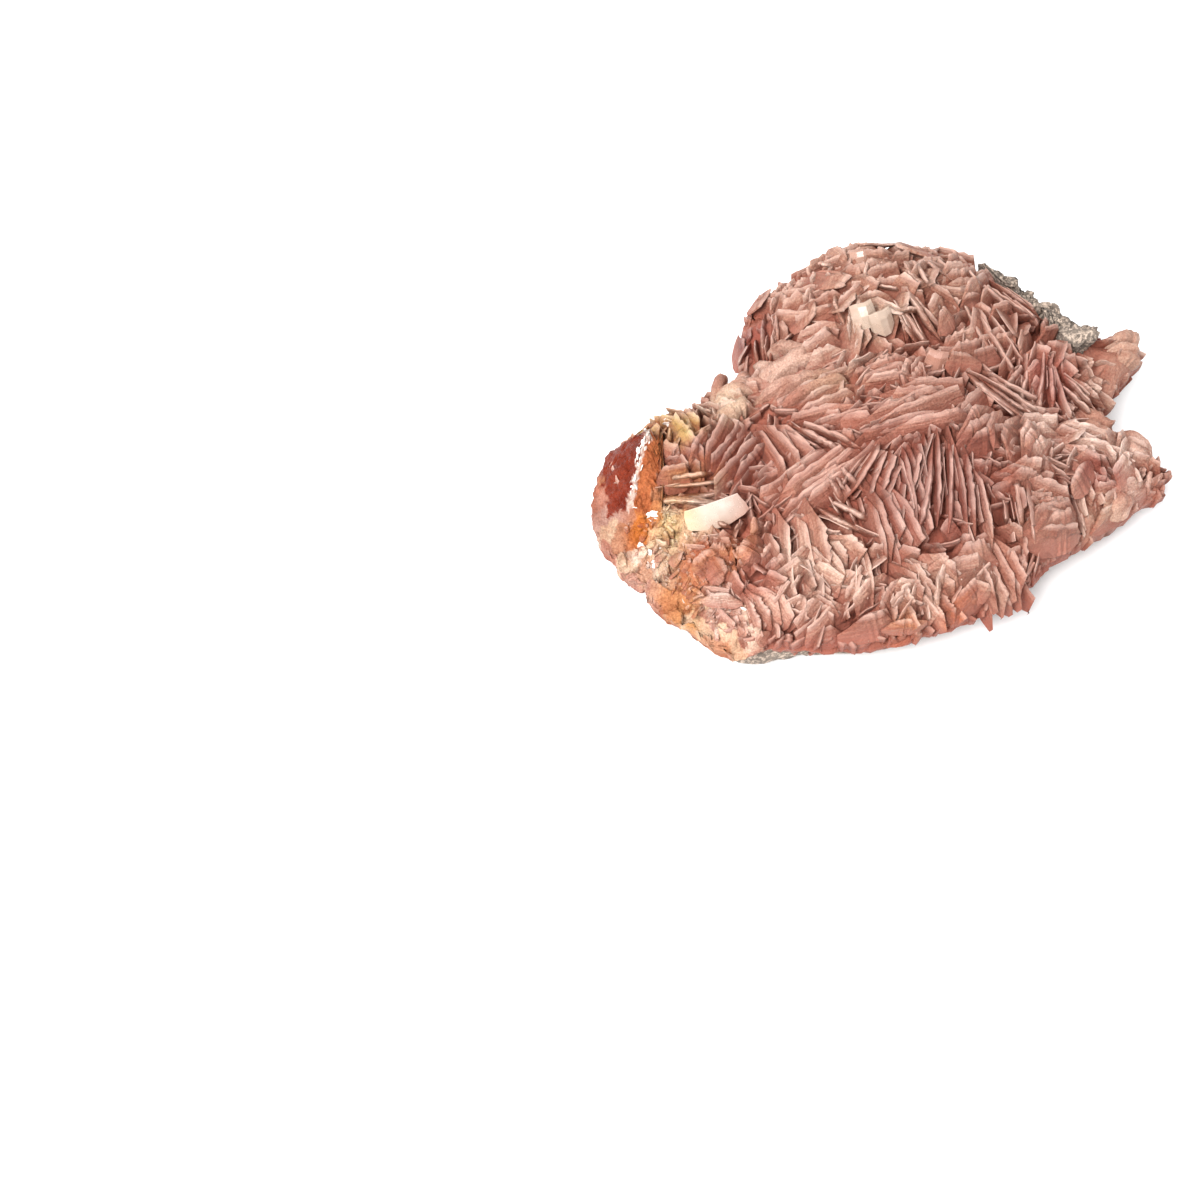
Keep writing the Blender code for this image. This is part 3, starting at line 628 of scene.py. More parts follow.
def paint(data, colours=None, below=None):
    """Store the zones' colour and gloss and the depth under the crests, which the materials use to paint
    shade into the crevices.
    """
    places = points_of(data)
    if colours is None:
        colours = zone_colours(places)
    tones = np.ones((len(places), 4))
    tones[:, :3] = colours[:, :3]
    zone = data.attributes.new("zone", "FLOAT_COLOR", "POINT")
    zone.data.foreach_set("color", tones.ravel())
    if below is None:
        below = crest_height(places[:, 0], places[:, 1]) - places[:, 2]
    fill_values(data, "depth", "FLOAT", np.clip(below / STAND, 0.0, 2.0))
    fill_values(data, "gloss", "FLOAT", colours[:, 3])


def fill_values(data, name, kind, values):
    """Store one value for each point of a mesh."""
    layer = data.attributes.new(name, kind, "POINT")
    layer.data.foreach_set("value" if kind in ("FLOAT", "INT") else "vector", np.array(values).ravel())


# Node trees

def put(tree, kind, inputs=None, **settings):
    """Add a node. Each of its inputs is given a value, or the socket that feeds it."""
    made = tree.nodes.new(kind)
    for name, value in settings.items():
        setattr(made, name, value)
    for name, value in (inputs or {}).items():
        if isinstance(value, bpy.types.NodeSocket):
            tree.links.new(value, made.inputs[name])
        else:
            made.inputs[name].default_value = value
    return made


def blade_tree():
    """Geometry nodes that set a blade on every seat and grow them together into one solid."""
    tree = bpy.data.node_groups.new("grow blades", "GeometryNodeTree")
    sockets = {}
    for name, kind in (("Seats", "Geometry"), ("Blade shapes", "Collection"), ("Last shape", "Int"),
                       ("Seed", "Int"), ("Finish", "Material")):
        made = tree.interface.new_socket(name, in_out="INPUT", socket_type="NodeSocket" + kind)
        sockets[name] = made.identifier
    tree.interface.new_socket("Blades", in_out="OUTPUT", socket_type="NodeSocketGeometry")
    given = tree.nodes.new("NodeGroupInput").outputs
    shapes = put(tree, "GeometryNodeCollectionInfo", {
        "Collection": given["Blade shapes"], "Separate Children": True, "Reset Children": True})
    pick = put(tree, "FunctionNodeRandomValue", {
        4: 0, 5: given["Last shape"], "Seed": given["Seed"]}, data_type="INT")
    turn = put(tree, "GeometryNodeInputNamedAttribute", {"Name": "turn"}, data_type="FLOAT_VECTOR")
    size = put(tree, "GeometryNodeInputNamedAttribute", {"Name": "size"}, data_type="FLOAT_VECTOR")
    rotation = put(tree, "FunctionNodeEulerToRotation", {0: turn.outputs["Attribute"]})
    blades = put(tree, "GeometryNodeInstanceOnPoints", {
        "Points": given["Seats"], "Instance": shapes.outputs[0], "Pick Instance": True,
        "Instance Index": pick.outputs[2], "Rotation": rotation.outputs[0],
        "Scale": size.outputs["Attribute"]})
    order = put(tree, "GeometryNodeInputIndex")
    number = put(tree, "GeometryNodeStoreNamedAttribute", {
        "Geometry": blades.outputs[0], "Name": "blade_number", "Value": order.outputs[0]},
        data_type="INT", domain="INSTANCE")
    loose = put(tree, "GeometryNodeRealizeInstances", {"Geometry": number.outputs[0]})
    own = put(tree, "GeometryNodeInputNamedAttribute", {"Name": "blade_number"}, data_type="INT")
    apart = put(tree, "GeometryNodeSplitToInstances", {
        0: loose.outputs[0], "Group ID": own.outputs["Attribute"]}, domain="FACE")
    grown = put(tree, "GeometryNodeMeshBoolean", {1: apart.outputs[0]}, operation="UNION",
                solver="MANIFOLD")
    plain = put(tree, "GeometryNodeRealizeInstances", {"Geometry": grown.outputs[0]})
    dressed = put(tree, "GeometryNodeSetMaterial", {
        "Geometry": plain.outputs[0], "Material": given["Finish"]})
    put(tree, "NodeGroupOutput", {"Blades": dressed.outputs[0]})
    return tree, sockets


# Blades

def blade_shape(number, source, form):
    """One blade of length, thickness and depth 1, with its own ends, notched crest and stripy faces."""
    mesh = bmesh.new()
    coords = mesh.loops.layers.uv.new("blade")
    bow = source.uniform(-BOW, BOW)
    ends = []
    for _ in range(2):
        kind = POINTED_END if source.random() < form.pointed else form.cut_end
        ends.append([source.uniform(*limits) for limits in kind])
    first, last = -ends[0][0] / 2, ends[1][0] / 2
    straight = [first + (last - first) * part / form.spans for part in range(form.spans + 1)]
    stations = [-0.5, (first - 0.5) / 2, *straight, (last + 0.5) / 2, 0.5]
    strips = [[1 + source.uniform(-STREAK, STREAK) for _ in form.section] for _ in range(2)]
    rings = []
    for along in stations:
        out = abs(2 * along)
        start, cut = ends[along > 0]
        crest = -cut * (max(0.0, out - start) / (1 - start)) ** form.power - source.uniform(0, NOTCH)
        root = -1 + ROOT_RISE * out ** 3
        half = 0.5 * (1 - out ** 4) * source.uniform(0.85, 1.0) + TIP_THICK
        side = bow * (0.25 - along * along) * 4 + source.uniform(-WAVE, WAVE)
        levels = [(crest + (root - crest) * part, half * thick) for part, thick in form.section]
        near, far = (
            [(along, side + way * wide * strip, level) for (level, wide), strip in zip(levels, face)]
            for way, face in zip((-1, 1), strips))
        rings.append([mesh.verts.new(point) for point in near + far[::-1]])
    for low, high in zip(rings, rings[1:]):
        for here, _ in enumerate(low):
            mesh.faces.new((low[here - 1], low[here], high[here], high[here - 1]))
    for ring, along, (_, cut) in ((rings[0], -0.52, ends[0]), (rings[-1], 0.52, ends[1])):
        tip = mesh.verts.new((along, 0, -(1 + cut) / 2))
        for here, _ in enumerate(ring):
            mesh.faces.new((ring[here - 1], ring[here], tip))
    bmesh.ops.recalc_face_normals(mesh, faces=mesh.faces)
    for face in mesh.faces:
        face.smooth = True
        for loop in face.loops:
            loop[coords].uv = (loop.vert.co.x + 0.5, -loop.vert.co.z)
    return bpy.data.objects.new("blade shape %d" % number, mesh_of("blade shape", mesh))


class Seat:
    """Where a blade stands: its crest's middle, heading and upward way, and its sizes, in mm."""

    def __init__(self, place, heading, up, length, thick, depth):
        self.place = place
        self.heading = heading.normalized()
        self.up = (up - self.heading * up.dot(self.heading)).normalized()
        self.length = length
        self.thick = thick
        self.depth = depth

    def turn(self):
        """The blade's rotation as Euler angles."""
        side = self.up.cross(self.heading)
        return Matrix((self.heading, side, self.up)).transposed().to_euler()


def turned(vector, angle):
    """A plan vector turned anticlockwise by degrees."""
    cosine, sine = math.cos(math.radians(angle)), math.sin(math.radians(angle))
    return Vector((vector.x * cosine - vector.y * sine, vector.x * sine + vector.y * cosine))


def square_to(vector):
    """The unit vector square to a plan vector, on its side away from the front."""
    side = Vector((-vector.y, vector.x)).normalized()
    return side if side.y > 0 else -side


def seat_on_dome(middle, along, lean, lower, thick, depth):
    """Seat a blade with its crest in the crests' surface, lowered, and leaning by degrees.

    Towards the rim the blades stand more upright, lower and shallower.
    """
    near_rim = float(np.clip((reach(*middle) - RIM_START) / (1 - RIM_START), 0, 1))
    near_rim *= BACK_SHARE if middle.y > BACK_START else 1.0
    middle = middle * (1 - RIM_PULL * near_rim)
    lean *= 1 - RIM_UPRIGHT * near_rim
    depth *= 1 - RIM_SHALLOW * near_rim
    lower += RIM_LOWER * near_rim
    start, end = middle - along / 2, middle + along / 2
    rise = crest_height(*end) - crest_height(*start)
    slope = max(-STEEPEST, min(STEEPEST, rise / along.length))
    heading = Vector((along.x, along.y, slope * along.length))
    back = square_to(along)
    tilt = math.radians(lean)
    up = Vector((back.x * math.sin(tilt), back.y * math.sin(tilt), math.cos(tilt)))
    place = Vector((middle.x, middle.y, crest_height(*middle) - lower))
    return Seat(place, heading, up, along.length, thick, depth / math.cos(tilt))


def bare(x, y):
    """Whether a place is kept free of pink blades."""
    return any(strip_distance(x, y, strip) < 0 for strip in BARE_STRIPS)


def rows_of(sheaves, stretch, source):
    """Each blade of each sheaf: middle, way along, lean, the sheaf's back and whether it is foremost."""
    for x1, y1, x2, y2, count, spacing, fan, lean in sheaves:
        middle = Vector(((x1 + x2) / 2, (y1 + y2) / 2))
        along = Vector((x2 - x1, y2 - y1))
        back = square_to(along)
        for blade in range(count):
            order = blade - (count - 1) / 2
            way = turned(along, fan * order + source.uniform(-STRAY_TURN, STRAY_TURN))
            way *= stretch * source.uniform(*STRAY_LENGTH)
            place = middle + back * spacing * order + along * source.uniform(-STRAY_ALONG, STRAY_ALONG)
            if reach(*place) < SHEAF_REACH and not bare(*place):
                yield (place, way, lean + OPENING * order + source.uniform(-STRAY_LEAN, STRAY_LEAN), back,
                       blade == 0 and lean > 10)


def sheaf_seats(settings, source):
    """The sheaves' blades, the smaller ones beside and across them, and the lines of their crests."""
    seats, smaller, lines = [], [], []
    depth = STAND + settings.root / MM
    for place, way, lean, back, foremost in rows_of(SHEAVES, settings.stretch, source):
        thick = settings.thickness / MM * source.uniform(*SHEAF_THICK)
        seat = seat_on_dome(place, way, lean, source.uniform(*SHEAF_LOWER), thick, depth)
        if reach(*place) < SHEAF_SHOWN:
            seats.append(seat)
            lines.append((place, way))
        for number in range(BESIDE if place.y < LOBE_START and lean < FACING else 1):
            side = -1 if number else 1
            near = place + back * side * source.uniform(*BESIDE_OFFSET)
            near += way * source.uniform(-BESIDE_ALONG, BESIDE_ALONG)
            short = turned(way, source.uniform(-BESIDE_TURN, BESIDE_TURN))
            short *= source.uniform(*BESIDE_LENGTH)
            smaller.append(seat_on_dome(
                near, short, lean + source.uniform(-BESIDE_LEAN, BESIDE_LEAN),
                source.uniform(*BESIDE_LOWER), source.uniform(*BESIDE_THICK), depth))
        for _ in range(ACROSS_FOREMOST if foremost else source.random() < ACROSS_SHARE):
            near = place - back * source.uniform(*ACROSS_OFFSET)
            near += way * source.uniform(-ACROSS_ALONG, ACROSS_ALONG)
            across = turned(way.normalized(), source.choice((-1, 1)) * source.uniform(*ACROSS_TURN))
            seat = seat_on_dome(
                near, across * source.uniform(*ACROSS_LENGTH), source.uniform(-ACROSS_LEAN, ACROSS_LEAN),
                source.uniform(*ACROSS_LOWER), source.uniform(*BESIDE_THICK), depth - ACROSS_SHALLOW)
            if reach(*near) < ACROSS_REACH and near.y < LOBE_START:
                smaller.append(seat)
    return seats, smaller, lines


def plate_seats(plates):
    """Single plates that stand out of the crust."""
    seats = []
    for x, y, heading, lean, length, depth, thick, out in plates:
        way = turned(Vector((length, 0)), heading)
        upright = depth * math.cos(math.radians(lean))
        seats.append(seat_on_dome(Vector((x, y)), way, lean, -out, thick, upright))
    return seats


def broken_top(x, y, facets):
    """Height of the broken ground and of its ridge, in mm."""
    fall = 2.5 * np.clip(reach(x, y) - 0.86, 0, 1) / 0.14
    ground = crest_height(x, y) - GROUND_UNDER - fall + facets.height(x, y)
    return np.maximum(ground, ridge_height(x, y))


def strewn_seats(source, facets, strips, lengths, thicks, depth, stray):
    """Small blades strewn over strips of the broken ground, turned from the strip's own way."""
    seats = []
    for start, end, half, count in strips:
        for _ in range(count):
            place = Vector(start).lerp(Vector(end), source.random())
            place += Vector((source.gauss(0, 0.5), source.gauss(0, 0.5))) * half
            heading = turned((Vector(end) - Vector(start)).normalized(), source.uniform(-stray, stray))
            heading = Vector((*heading, source.uniform(-0.5, 0.5)))
            up = Vector((source.uniform(-0.9, 0.9), source.uniform(-0.9, 0.9), 1)).normalized()
            length, thick = source.uniform(*lengths), source.uniform(*thicks)
            height = float(broken_top(np.array([place.x]), np.array([place.y]), facets)[0])
            place = Vector((*place, height + source.uniform(0.0, 0.5)))
            if reach(place.x, place.y) < FILL_REACH:
                seats.append(Seat(place, heading, up, length, thick, depth))
    return seats


def petal_seats(source, fields):
    """Blades that stand at odds with each other, in fields."""
    seats = []
    for middle_x, middle_y, wide, high, step, lengths, leans in fields:
        for x in np.arange(-wide, wide, step):
            for y in np.arange(-high, high, step):
                place = Vector((x + source.uniform(-0.4, 0.4) * step,
                                y + source.uniform(-0.4, 0.4) * step))
                way = turned(Vector((source.uniform(*lengths), 0)), source.uniform(0, 180))
                lean = source.uniform(*leans) * source.choice((1, 1, -1))
                lower, thick = source.uniform(-0.9, 0.9), source.uniform(0.6, 1.0)
                inside = (place.x / wide) ** 2 + (place.y / high) ** 2 < 1
                place += Vector((middle_x, middle_y))
                if inside and reach(*place) < PETAL_REACH and not bare(*place):
                    seats.append(seat_on_dome(place, way, lean, lower, thick, PETAL_DEPTH))
    return seats


def soft_seats(source):
    """The thick rounded blades of the pale massive barite."""
    return [seat_on_dome(place, way, lean, source.uniform(*SOFT_LOWER), source.uniform(*SOFT_THICK),
                         STAND + SOFT_ROOT)
            for place, way, lean, _, _ in rows_of(SOFT_SHEAVES, SOFT_STRETCH, source)]


def fill_seats(settings, source, lines):
    """Smaller blades between the sheaves, turned like their neighbours, with some across."""
    seats = []
    step = settings.fill_step / MM
    taken = [place + way * part for place, way in lines for part in (-0.4, -0.2, 0.0, 0.2, 0.4)]
    taken = np.array([tuple(place) for place in taken])
    middles = np.array([tuple(place) for place, _ in lines])
    depth = STAND + settings.root / MM
    half = int(FARTHEST / step)
    for column in range(-half, half + 1):
        for row in range(-half, half + 1):
            place = Vector((column, row)) * step
            place += Vector((source.uniform(-1, 1), source.uniform(-1, 1))) * step * 0.4
            length = source.uniform(*FILL_LENGTH)
            stray = source.gauss(0, FILL_STRAY)
            free = source.uniform(0, 180)
            lean = source.uniform(*FILL_LEAN)
            lower = source.uniform(*FILL_LOWER)
            thick = source.uniform(*FILL_THICK)
            if reach(*place) > FILL_REACH or bare(*place):
                continue
            if np.hypot(*(taken - tuple(place)).T).min() < FILL_CLEAR:
                continue
            sunk = crest_height(*place) - raised_top(*place) < FILL_SUNK
            if (sunk or place.y > LOBE_START) and free > 60:
                continue
            apart = np.hypot(*(middles - tuple(place)).T)
            nearest = int(apart.argmin())
            if apart[nearest] < FILL_BORROW:
                way = turned(lines[nearest][1].normalized(), stray) * length
            else:
                way = turned(Vector((length, 0)), free)
            seats.append(seat_on_dome(place, way, lean, lower, thick, depth))
    return seats


def rim_seats(settings, source):
    """Blades round the rim that lean outwards in tiers and cover the crust's side."""
    seats = []
    for part, height, outward, step in RIM_TIERS:
        angle = 0.0
        while angle < math.tau:
            radius = float(rim_radius(angle)) * part
            way = Vector((math.cos(angle), math.sin(angle), 0.0))
            place = way * radius
            length = source.uniform(*RIM_LENGTH)
            roll = math.radians(source.choice((0, 0, 90)) + source.uniform(-45, 45))
            lean = math.radians(outward + source.uniform(-12, 12))
            thick = source.uniform(*RIM_THICK)
            place.z = height * crest_height(place.x, place.y) + source.uniform(-0.7, 0.7)
            angle += step * source.uniform(0.6, 1.1) / radius
            if bare(place.x, place.y) or place.z < RIM_FOOT:
                continue
            up = way * math.sin(lean) + Vector((0, 0, math.cos(lean)))
            across = up.cross(way).normalized()
            heading = across * math.sin(roll) + up.cross(across) * math.cos(roll)
            lowest = place.z - abs(heading.z) * length / 2 - max(0.0, up.z) * RIM_DEPTH
            place.z += max(0.0, RIM_LOWEST - lowest)
            seats.append(Seat(place, heading, up, length, thick, RIM_DEPTH))
    return seats


def grow(name, seats, settings, finish, form=SMALL, even=None):
    """Set a blade on every seat and turn the result into one plain mesh."""
    data = bpy.data.meshes.new(name + " seats")
    data.from_pydata([seat.place * MM for seat in seats], [], [])
    fill_values(data, "turn", "FLOAT_VECTOR", [tuple(seat.turn()) for seat in seats])
    fill_values(data, "size", "FLOAT_VECTOR", [
        (seat.length * MM, seat.thick * MM, seat.depth * MM) for seat in seats])
    source = random.Random(settings.seed)
    fill_values(data, "tone", "FLOAT", [source.uniform(-1, 1) for _ in seats])
    holder = new_object(name + " seats", data)
    shapes = bpy.data.collections.new(name + " shapes")
    for number in range(BLADE_SHAPES):
        shapes.objects.link(blade_shape(number, source, form))
    tree, sockets = blade_tree()
    modifier = holder.modifiers.new("grow blades", "NODES")
    modifier.node_group = tree
    for socket, value in (("Blade shapes", shapes), ("Last shape", BLADE_SHAPES - 1),
                          ("Seed", settings.seed), ("Finish", finish)):
        modifier[sockets[socket]] = value
    graph = bpy.context.evaluated_depsgraph_get()
    grown = bpy.data.meshes.new_from_object(holder.evaluated_get(graph), depsgraph=graph)
    if not grown.polygons:
        raise RuntimeError(name + " came out empty")
    for shape in list(shapes.objects):
        bpy.data.objects.remove(shape, do_unlink=True)
    bpy.data.objects.remove(holder, do_unlink=True)
    drop_pockets(grown)
    grown.set_sharp_from_angle(angle=math.radians(form.crease))
    # The depth under the crests, or an even depth, sets how much shade the finish paints in
    paint(grown, below=None if even is None else np.full(len(grown.vertices), even * STAND))
    return new_object(name, grown)


def drop_pockets(data):
    """Drop the closed pockets that are left inside where blades have grown together."""
    mesh = bmesh.new()
    mesh.from_mesh(data)
    left = set(mesh.faces)
    inner = []
    while left:
        todo = [left.pop()]
        shell = []
        while todo:
            face = todo.pop()
            shell.append(face)
            beside = {other for edge in face.edges for other in edge.link_faces} & left
            left -= beside
            todo.extend(beside)
        volume = 0.0
        for face in shell:
            corners = [loop.vert.co for loop in face.loops]
            for here in range(1, len(corners) - 1):
                volume += corners[0].dot(corners[here].cross(corners[here + 1]))
        if volume <= 0:
            inner += shell
    bmesh.ops.delete(mesh, geom=inner, context="FACES")
    mesh.to_mesh(data)
    mesh.free()


# Materials

def new_finish(name, roughness):
    """A material with a principled shader; gives the material, its tree and the shader."""
    finish = bpy.data.materials.new(name)
    finish.use_nodes = True
    shader = finish.node_tree.nodes["Principled BSDF"]
    shader.inputs["Roughness"].default_value = roughness
    return finish, finish.node_tree, shader


def mixed(tree, factor, low, high, blend="MIX"):
    """A colour mix; factor, low and high are values or sockets."""
    mix = put(tree, "ShaderNodeMix", data_type="RGBA", blend_type=blend)
    for socket, value in ((mix.inputs[0], factor), (mix.inputs[6], low), (mix.inputs[7], high)):
        if isinstance(value, bpy.types.NodeSocket):
            tree.links.new(value, socket)
        elif socket.type == "RGBA":
            socket.default_value = (*value, 1.0)
        else:
            socket.default_value = value
    return mix.outputs[2]


def spread(tree, value, low, high, to_low=0.0, to_high=1.0):
    """A value stretched from one range to another, clamped."""
    return put(tree, "ShaderNodeMapRange", {
        "Value": value, "From Min": low, "From Max": high,
        "To Min": to_low, "To Max": to_high}).outputs[0]


def grain(tree, place, size, detail=3.0, rough=0.55):
    """Noise with features of a size in mm, as a socket of 0 to 1."""
    return put(tree, "ShaderNodeTexNoise", {
        "Vector": place, "Scale": 1 / (size * MM), "Detail": detail, "Roughness": rough}).outputs[0]


def patchy(tree, place, size, low, high, detail=3.0, rough=0.55):
    """Noise stretched so that its parts from low to high reach from 0 to 1."""
    return spread(tree, grain(tree, place, size, detail, rough), low, high)


def times(tree, one, other):
    """Two colours multiplied."""
    return mixed(tree, 1.0, one, other, "MULTIPLY")


def stored(tree, name, output="Fac"):
    """What the mesh stores under a name."""
    return put(tree, "ShaderNodeAttribute", attribute_name=name).outputs[output]


def product(tree, one, other):
    """Two values multiplied."""
    return put(tree, "ShaderNodeMath", {0: one, 1: other}, operation="MULTIPLY").outputs[0]


def emboss(tree, shader, height, strength, distance):
    """Fine relief on the surface."""
    bump = put(tree, "ShaderNodeBump", {"Strength": strength, "Distance": distance, "Height": height})
    tree.links.new(bump.outputs[0], shader.inputs["Normal"])


def barite_finish(name, settings, on_blades, bright=1.0, shine=0.35):
    """Waxy salmon barite: zoned colour, a painted highlight on the crests, painted shade towards the
    roots and in the crevices, fine grain.
    """
    finish, tree, shader = new_finish(name, 0.5)
    place = tree.nodes.new("ShaderNodeTexCoord").outputs["Object"]
    zone, depth, gloss = stored(tree, "zone", "Color"), stored(tree, "depth"), stored(tree, "gloss")
    cloud = patchy(tree, place, 4.0, 0.3, 0.7)
    fine = patchy(tree, place, 0.6, 0.3, 0.7, 5.0, 0.65)
    patch = patchy(tree, place, 7.0, 0.36, 0.64, 2.0)
    colour = mixed(tree, cloud, (0.35, 0.235, 0.195), (0.51, 0.455, 0.425))
    colour = mixed(tree, spread(tree, patch, 0.5, 1.0), colour, (0.53, 0.475, 0.445))
    colour = mixed(tree, spread(tree, fine, 0.35, 1.0, 0.0, 0.3), colour, (0.72, 0.66, 0.62))
    colour = times(tree, colour, (bright, bright, bright))
    specks = patchy(tree, place, 0.35, 0.3, 0.7, 2.0)
    colour = times(tree, colour, mixed(tree, specks, (0.74, 0.66, 0.63), (1.20, 1.24, 1.24)))
    colour = times(tree, zone, colour)
    if on_blades:
        tone = stored(tree, "tone")
        shade = mixed(tree, spread(tree, tone, -1.0, 1.0), (0.82, 0.68, 0.63), (1.13, 1.18, 1.20))
        colour = times(tree, colour, shade)
        coords = put(tree, "ShaderNodeUVMap", uv_map="blade").outputs[0]
        parts = put(tree, "ShaderNodeSeparateXYZ", {0: coords}).outputs
        drift = product(tree, tone, 40.0)
        fibre = put(tree, "ShaderNodeCombineXYZ", {"X": parts[0], "Y": parts[1], "Z": drift}).outputs[0]
        fibre = put(tree, "ShaderNodeVectorMath", {0: fibre, 1: (2.0, 12.0, 1.0)}, operation="MULTIPLY")
        fibre = put(tree, "ShaderNodeTexNoise", {
            "Vector": fibre.outputs[0], "Scale": 1.0, "Detail": 5.0, "Roughness": 0.72}).outputs[0]
        fibre = spread(tree, fibre, 0.34, 0.66)
        colour = times(tree, colour, mixed(tree, fibre, (0.70, 0.54, 0.49), (1.16, 1.36, 1.40)))
        # Painted shade: each blade is painted darker from half-way down towards its root
        root = spread(tree, parts[1], 0.25, 0.8, 0.0, 0.6)
        colour = mixed(tree, root, colour, tuple(settings.root_shade_tone))
        # Painted highlight: a band along each blade's crest is painted paler, towards the crest colour
        crest = product(tree, spread(tree, parts[1], 0.0, 0.2, 0.85, 0.0),
                        spread(tree, cloud, 0.0, 1.0, 0.5, 1.0))
        edge = mixed(tree, 0.35, tuple(settings.crest_highlight_tone), zone)
        edge = times(tree, edge, mixed(tree, fibre, (0.8, 0.74, 0.72), (1.1, 1.1, 1.1)))
        colour = mixed(tree, crest, colour, edge)
    # Painted shade: the deeper a place lies under the crests, the darker it is painted, towards the
    # crevice colour
    painted_crevice_shade = spread(tree, depth, 0.1, 0.9, 0.0, 0.75)
    colour = mixed(tree, painted_crevice_shade, colour, tuple(settings.crevice_shade_tone))
    tree.links.new(colour, shader.inputs["Base Color"])
    rough = spread(tree, fine, 0.0, 1.0, 0.45, 0.7)
    rough = put(tree, "ShaderNodeMix", {0: gloss, 2: rough, 3: 0.2}).outputs[0]
    shader.inputs["Specular IOR Level"].default_value = shine
    tree.links.new(rough, shader.inputs["Roughness"])
    shader.inputs["Subsurface Weight"].default_value = 0.08
    shader.inputs["Subsurface Radius"].default_value = (1.0, 0.4, 0.25)
    shader.inputs["Subsurface Scale"].default_value = 0.0007
    relief = put(tree, "ShaderNodeMath", {0: fine, 1: fibre if on_blades else cloud}, operation="ADD")
    emboss(tree, shader, relief.outputs[0], 0.8, 0.00025)
    return finish


def glint_finish():
    """Small pale glossy grains: their pale colour paints glints, and their low roughness catches the
    light as well.
    """
    finish, tree, shader = new_finish("painted glint grains", 0.12)
    place = tree.nodes.new("ShaderNodeTexCoord").outputs["Object"]
    # The pale colour is a painted glint
    tree.links.new(mixed(tree, grain(tree, place, 1.0), (0.55, 0.45, 0.39), (0.80, 0.74, 0.70)),
                   shader.inputs["Base Color"])
    return finish


def clear_finish():
    """Clear to milky barite, seen through."""
    finish, tree, shader = new_finish("clear barite", 0.16)
    shader.inputs["Transmission Weight"].default_value = 0.3
    shader.inputs["IOR"].default_value = 1.64
    place = tree.nodes.new("ShaderNodeTexCoord").outputs["Object"]
    emboss(tree, shader, grain(tree, place, 0.9, 4.0), 0.2, 0.0001)
    veil = mixed(tree, grain(tree, place, 2.2), (0.5, 0.47, 0.44), (0.85, 0.85, 0.85))
    tree.links.new(times(tree, stored(tree, "zone", "Color"), veil), shader.inputs["Base Color"])
    milky = spread(tree, grain(tree, place, 1.6, 3.0), 0.35, 0.65, 0.18, 0.32)
    tree.links.new(milky, shader.inputs["Roughness"])
    return finish


def rock_finish(settings):
    """Dull grey-brown host rock with pale grains and dark pits."""
    finish, tree, shader = new_finish("grey brown rock", 0.9)
    place = tree.nodes.new("ShaderNodeTexCoord").outputs["Object"]
    cloud = patchy(tree, place, 4.0, 0.35, 0.65, 4.0)
    speck = patchy(tree, place, 0.8, 0.48, 0.62, 4.0, 0.7)
    dark = tuple(part * 0.45 for part in settings.tone)
    pale = tuple(min(1.0, part * 2.6) for part in settings.tone)
    colour = mixed(tree, cloud, dark, tuple(settings.tone))
    colour = mixed(tree, speck, colour, pale)
    tree.links.new(colour, shader.inputs["Base Color"])
    emboss(tree, shader, grain(tree, place, 0.6, 5.0, 0.65), 0.6, 0.0004)
    return finish


def floor_finish():
    """Plain pale floor."""
    finish, tree, shader = new_finish("pale floor", 0.8)
    shader.inputs["Base Color"].default_value = (0.86, 0.86, 0.86, 1.0)
    return finish


# Operators

def finished_piece(piece, node="barite_blades"):
    """Hang a piece on the root body and hide the CAD node that it stands in for."""
    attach(piece, "root")
    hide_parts(node)


class BARITE_OT_blades(bpy.types.Operator):
    """Grow the sheaves of crested blades and the blades between them"""
    bl_idname = "barite.blades"
    bl_label = "Grow blades"

    def execute(self, context):
        settings = context.scene.barite_blades
        source = random.Random(settings.seed)
        finish = barite_finish("pink barite", settings, True)
        sheaves, beside, lines = sheaf_seats(settings, source)
        sheaves += plate_seats(PINK_PLATES)
        for name, seats, form in (
                ("sheaves", sheaves, THIN), ("blades_beside", beside, SMALL),
                ("petals", petal_seats(source, PETAL_FIELDS), PETAL),
                ("splinters", petal_seats(source, SPLINTER_FIELDS), SMALL),
                ("fill_blades", fill_seats(settings, source, lines), SMALL),
                ("rim_blades", rim_seats(settings, source), SMALL)):
            finished_piece(grow(name, seats, settings, finish, form))
        return {"FINISHED"}


class BARITE_OT_pale(bpy.types.Operator):
    """Grow the thick rounded pale blades and the clear plates"""
    bl_idname = "barite.pale"
    bl_label = "Grow pale and clear crystals"

    def execute(self, context):
        settings = context.scene.barite_blades
        source = random.Random(settings.seed + 1)
        finish = barite_finish("pale massive barite", settings, False)
        finished_piece(grow("soft_blades", soft_seats(source), settings, finish, SOFT, 0.0))
        finished_piece(grow("clear_plates", plate_seats(CLEAR_PLATES), settings, clear_finish(), PLATE))
        return {"FINISHED"}


class BARITE_OT_massive(bpy.types.Operator):
    """Lay the massive barite that the blades stand in"""
    bl_idname = "barite.massive"
    bl_label = "Lay massive barite"

    def execute(self, context):
        settings = context.scene.barite_massive
        count = settings.sectors
        rings = [ring_at(BARITE_TABLE, part, layer_bottom, count) for part in np.linspace(0.05, 0.88, 16)]
        rings += wall_rings(
            BARITE_TABLE, MASSIVE_WALL, over(layer_bottom, 0.7), over(layer_top, -0.8), count)
        rings += [ring_at(BARITE_TABLE, part, raised_top, count)
                  for part in np.linspace(MASSIVE_WALL[1], 0.02, 90)]
        data = polar_mesh("massive_barite", rings)
        lump = settings.lumps / MM
        roughen(data, ((5.0, lump * 1.4), (1.8, lump * 0.9), (0.8, lump * 0.5)), over(layer_bottom, 0.5))
        paint(data)
        data.materials.append(barite_finish("massive pink barite", context.scene.barite_blades, False))
        finished_piece(new_object("massive_barite", data))
        return {"FINISHED"}


